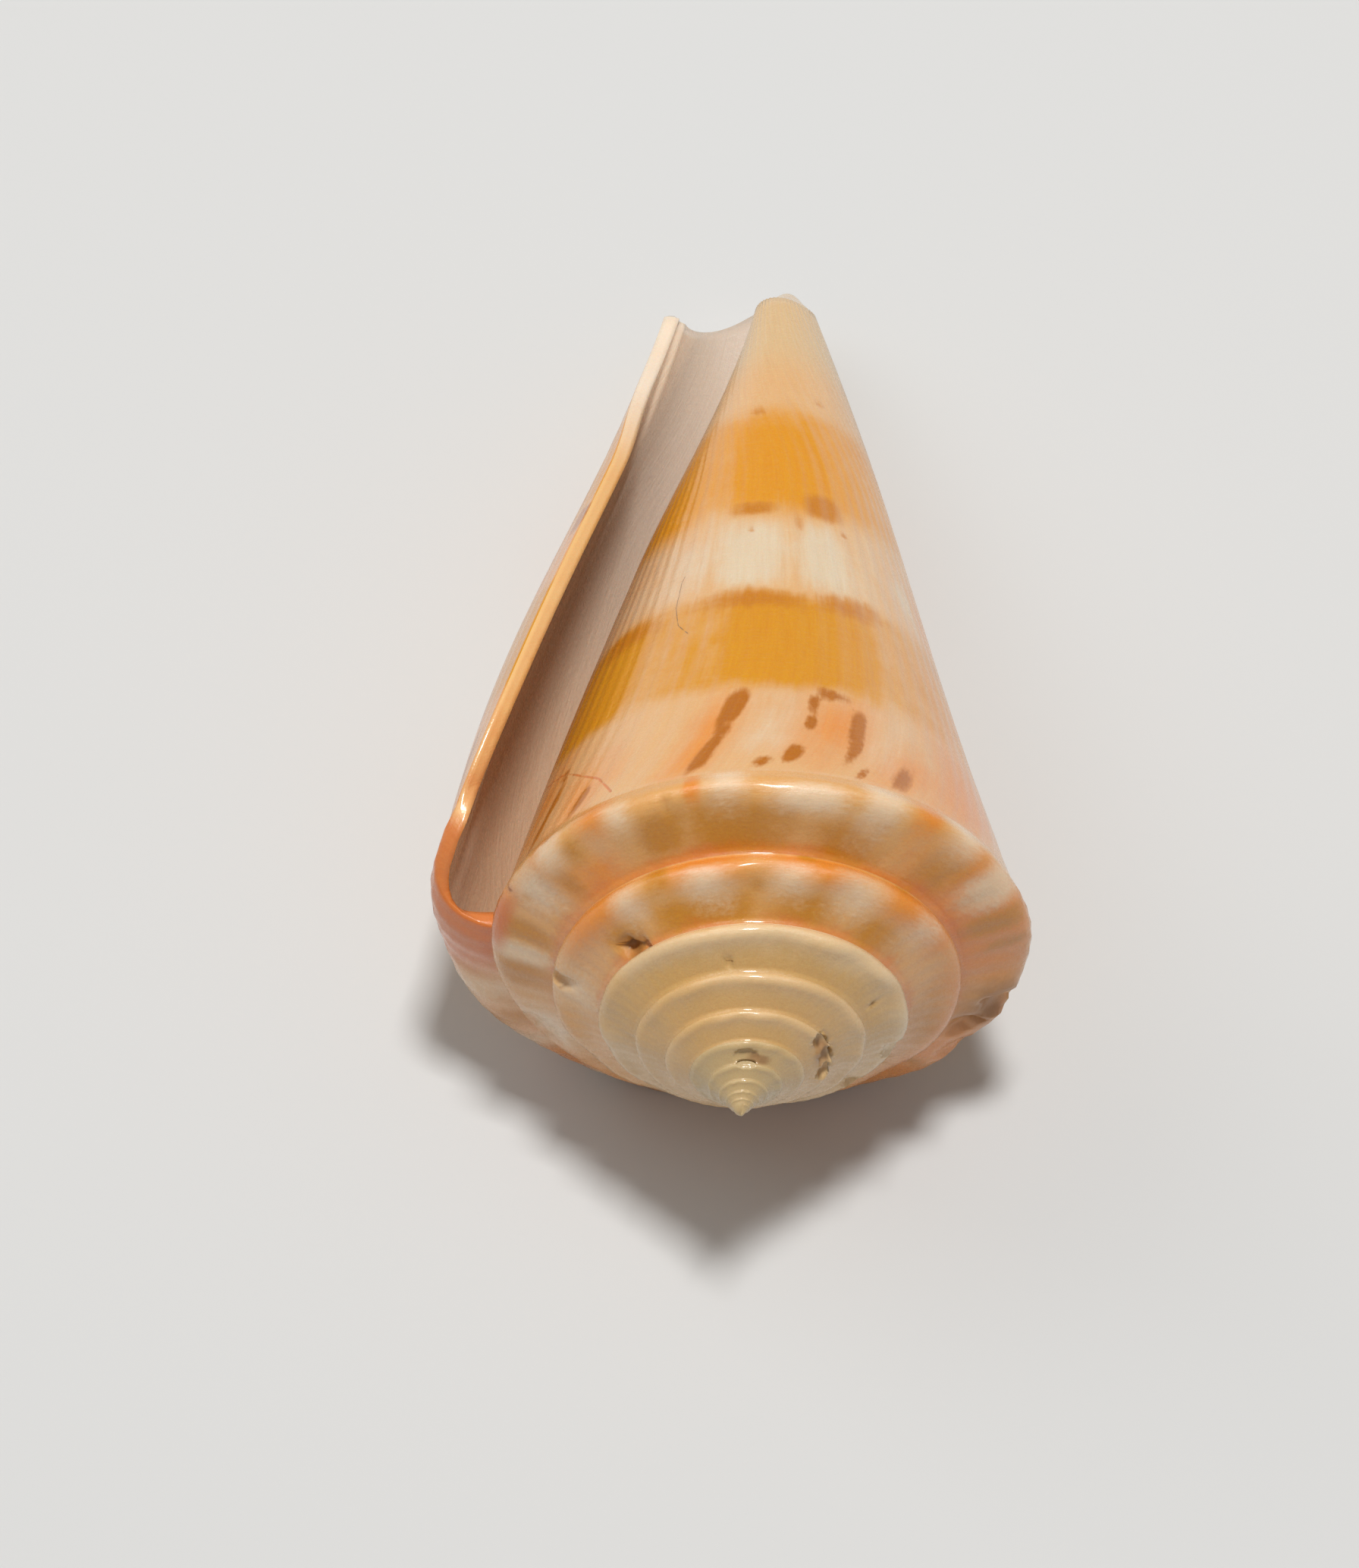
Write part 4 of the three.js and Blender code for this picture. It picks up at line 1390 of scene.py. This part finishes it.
@dataclass(frozen=True)
class RowFrame:
    """Lays the shell down on its long side, as the frame's solid lies; it works in millimetres and reads the
    frame's box in metres.
    """

    law: GrowthLaw
    rest_tilt: float = 14.5
    flat_depth: float = 0.32

    def turned(self, points: Array) -> Array:
        """Turns points about X: what was up the axis now runs toward -Y and a little up.

        Args:
            points: points about the shell's own axis, in a last axis of three.

        Returns:
            Turned points, still in millimetres.
        """
        angle = math.radians(90 - self.rest_tilt)
        cosine, sine = math.cos(angle), math.sin(angle)
        x, y, z = np.moveaxis(points, -1, 0)
        return np.stack([x, y * cosine - z * sine, y * sine + z * cosine], -1)

    def offset(self, outline: Array, low: Vector, high: Vector) -> Array:
        """How far turned points move so that the outline is centred in the frame's box and its lowest
        point lies a little under the floor, where the worn flat is.

        Args:
            outline: all points of the undamaged form, about the shell's own axis.
            low: lowest corner of the frame's box, in metres.
            high: highest corner of the frame's box, in metres.

        Returns:
            The move, in millimetres.
        """
        turned = self.turned(outline)
        middle = (turned.min(0) + turned.max(0)) / 2
        target = np.array((low + high) / 2) / MILLIMETRE
        return np.array([*(target - middle)[:2], -turned[:, 2].min() - self.flat_depth])


@dataclass
class Studio:
    """Floor, lights and camera."""

    frame: RowFrame
    move: Array
    elevation_from_axis: float = 52.85
    roll: float = -1.58
    distance: float = 160.0
    aim_depth: float = 8.15
    aim_right: float = 1.83
    aim_up: float = -2.36
    focal_length: float = 131.8
    floor_side: float = 1.2
    floor_colour: tuple[float, ...] = (0.68, 0.68, 0.67, 1.0)
    floor_roughness: float = 0.7
    world_colour: tuple[float, ...] = (1.0, 0.98, 0.95, 1.0)
    world_strength: float = 0.26
    lights: tuple[tuple[str, Colour, float, float], ...] = (
        ("window", (0.02, 0.05, 0.40), 0.06, 1.18),
        ("fill", (-0.26, 0.14, 0.25), 0.25, 0.22),
    )

    def to_scene(self, point: Array) -> Vector:
        """Place in the scene, in metres, of a point about the shell's own axis."""
        return Vector((self.frame.turned(np.asarray(point, float)) + self.move) * MILLIMETRE)

    def build_camera(self) -> bpy.types.Object:
        """Camera that looks down the axis from the spire side at the photograph's angle.

        Returns:
            The camera object.
        """
        angle, roll = math.radians(self.elevation_from_axis), math.radians(self.roll)
        back = np.array([0, math.sin(angle), math.cos(angle)])
        plain_up, plain_right = np.array([0, math.cos(angle), -math.sin(angle)]), np.array([1.0, 0, 0])
        up = math.cos(roll) * plain_up + math.sin(roll) * plain_right
        right = math.cos(roll) * plain_right - math.sin(roll) * plain_up
        target = np.array([0, 0, -self.aim_depth])
        place = target + self.distance * back - self.aim_right * right - self.aim_up * up
        data = bpy.data.cameras.new("camera")
        data.lens = self.focal_length
        data.sensor_width = 36
        data.clip_start, data.clip_end = 0.01, 10
        camera = bpy.data.objects.new("camera", data)
        axes = [self.frame.turned(axis) for axis in (right, up, back)]
        turn = Matrix(np.array(axes).T.tolist()).to_4x4()
        camera.matrix_world = Matrix.Translation(self.to_scene(place)) @ turn
        bpy.context.scene.collection.objects.link(camera)
        bpy.context.scene.camera = camera
        return camera

    def build_floor(self) -> None:
        """Plain pale floor at the height of the flat that the shell rests on."""
        side = self.floor_side / 2
        mesh = bpy.data.meshes.new("floor")
        corners = [(-side, -side, 0), (side, -side, 0), (side, side, 0), (-side, side, 0)]
        mesh.from_pydata(corners, [], [(0, 1, 2, 3)])
        material = bpy.data.materials.new("floor")
        material.use_nodes = True
        surface = material.node_tree.nodes["Principled BSDF"]
        surface.inputs["Base Color"].default_value = self.floor_colour
        surface.inputs["Roughness"].default_value = self.floor_roughness
        mesh.materials.append(material)
        floor = bpy.data.objects.new("floor", mesh)
        bpy.context.scene.collection.objects.link(floor)

    def build_lights(self) -> None:
        """Soft square lights aimed at the shell, and an even pale world around it."""
        for name, place, size, power in self.lights:
            data = bpy.data.lights.new(name, "AREA")
            data.size, data.energy = size, power
            light = bpy.data.objects.new(name, data)
            light.location = place
            light.rotation_euler = (-Vector(place)).to_track_quat("-Z", "Y").to_euler()
            bpy.context.scene.collection.objects.link(light)
        world = bpy.data.worlds.new("studio")
        world.use_nodes = True
        background = world.node_tree.nodes["Background"]
        background.inputs["Color"].default_value = self.world_colour
        background.inputs["Strength"].default_value = self.world_strength
        bpy.context.scene.world = world
        bpy.context.scene.view_settings.view_transform = "Standard"


@dataclass
class ShellPiece:
    """The shell as one Blender object."""

    law: GrowthLaw
    frame: RowFrame
    relief: Relief
    markings: Markings
    finish: ShellFinish
    name: str = "worn_shell"
    proud: float = 0.2
    rim_turns: float = 0.02
    rim_fade: tuple[float, float] = (3.55, 3.9)
    cream_start: float = 3.84
    cream_blend: float = 0.12

    def build(self, low: Vector, high: Vector) -> tuple[bpy.types.Object, Array]:
        """Builds the shell where the frame has it.

        Args:
            low: lowest corner of the frame's box, in metres.
            high: highest corner of the frame's box, in metres.

        Returns:
            The object, and the move in millimetres that put it there.
        """
        surface = WallBuilder(self.law).build()
        move = self.frame.offset(surface.points, low, high)
        raised = surface.points + self.relief.height(surface)[:, None] * surface.normals()
        raised = self.relief.pinched(self.relief.carved(raised, surface))
        placed = self.frame.turned(raised) + move
        bounds = np.array([low, high]) / MILLIMETRE
        placed = np.clip(placed, bounds[0] - self.proud, bounds[1] + self.proud)
        placed[:, 2] = np.maximum(placed[:, 2], 0)
        mesh = self.build_mesh(placed * MILLIMETRE, surface)
        self.store_marks(mesh, surface)
        mesh.materials.append(self.finish.build(self.name))
        piece = bpy.data.objects.new(self.name, mesh)
        bpy.context.scene.collection.objects.link(piece)
        return piece, move

    def build_mesh(self, points: Array, surface: Surface) -> bpy.types.Mesh:
        """Fills a mesh from arrays.

        Args:
            points: positions in metres.
            surface: the faces.

        Returns:
            The mesh, smoothly shaded.
        """
        corners = np.concatenate([surface.quads.ravel(), surface.triangles.ravel()]).astype(np.int32)
        sizes = np.concatenate([np.full(len(surface.quads), 4), np.full(len(surface.triangles), 3)])
        starts = np.concatenate([[0], np.cumsum(sizes)[:-1]]).astype(np.int32)
        mesh = bpy.data.meshes.new(self.name)
        mesh.vertices.add(len(points))
        mesh.vertices.foreach_set("co", points.astype(np.float32).ravel())
        mesh.loops.add(len(corners))
        mesh.loops.foreach_set("vertex_index", corners)
        mesh.polygons.add(len(sizes))
        mesh.polygons.foreach_set("loop_start", starts)
        mesh.polygons.foreach_set("use_smooth", np.ones(len(sizes), bool))
        mesh.update(calc_edges=True)
        mesh.validate()
        return mesh

    def store_marks(self, mesh: bpy.types.Mesh, surface: Surface) -> None:
        """Stores the growth map and the marks at each face corner.

        Args:
            mesh: the mesh.
            surface: the faces, with the labels of their corners.
        """
        quad_labels = surface.quad_labels.reshape(-1, 3)
        labels = np.concatenate([quad_labels, surface.triangle_labels.reshape(-1, 3)])
        turn, station, region = labels.T
        grown = self.relief.growth(turn, station)
        growth = mesh.uv_layers.new(name="growth")
        growth.data.foreach_set("uv", np.stack([grown, station], -1).astype(np.float32).ravel())
        values = {layer.value: self.markings.field(layer, turn, station, region) for layer in Layer}
        cream = (station - self.cream_start) / self.cream_blend
        values[Layer.CREAM.value] = cream * (region != Region.INSIDE)
        values["spire"] = region == Region.SPIRE
        values["inside"] = (region == Region.INSIDE) | (region == Region.EDGE)
        behind = turn - self.law.lip_lead(turn, station)
        rim = np.where(region == Region.EDGE, 1.0, 1 - ease(behind, 0, self.rim_turns))
        values["edge"] = rim * (1 - ease(station, *self.rim_fade))
        for name, value in values.items():
            stored = mesh.attributes.new(name, "FLOAT", "CORNER")
            stored.data.foreach_set("value", np.asarray(value, np.float32))


def main() -> None:
    """Builds the shell, the studio and the camera."""
    logging.basicConfig(level=logging.INFO, format="%(name)s: %(message)s")
    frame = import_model()
    law = GrowthLaw()
    relief = Relief(law)
    row = RowFrame(law)
    shell = ShellPiece(law, row, relief, Markings(relief), ShellFinish())
    piece, move = shell.build(*[Vector(corner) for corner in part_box("shell")])
    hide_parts("shell")
    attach(piece, "root")
    studio = Studio(row, move)
    studio.build_camera()
    studio.build_floor()
    studio.build_lights()
    log.info("studio: floor, lights and camera")


if __name__ == "__main__":
    main()
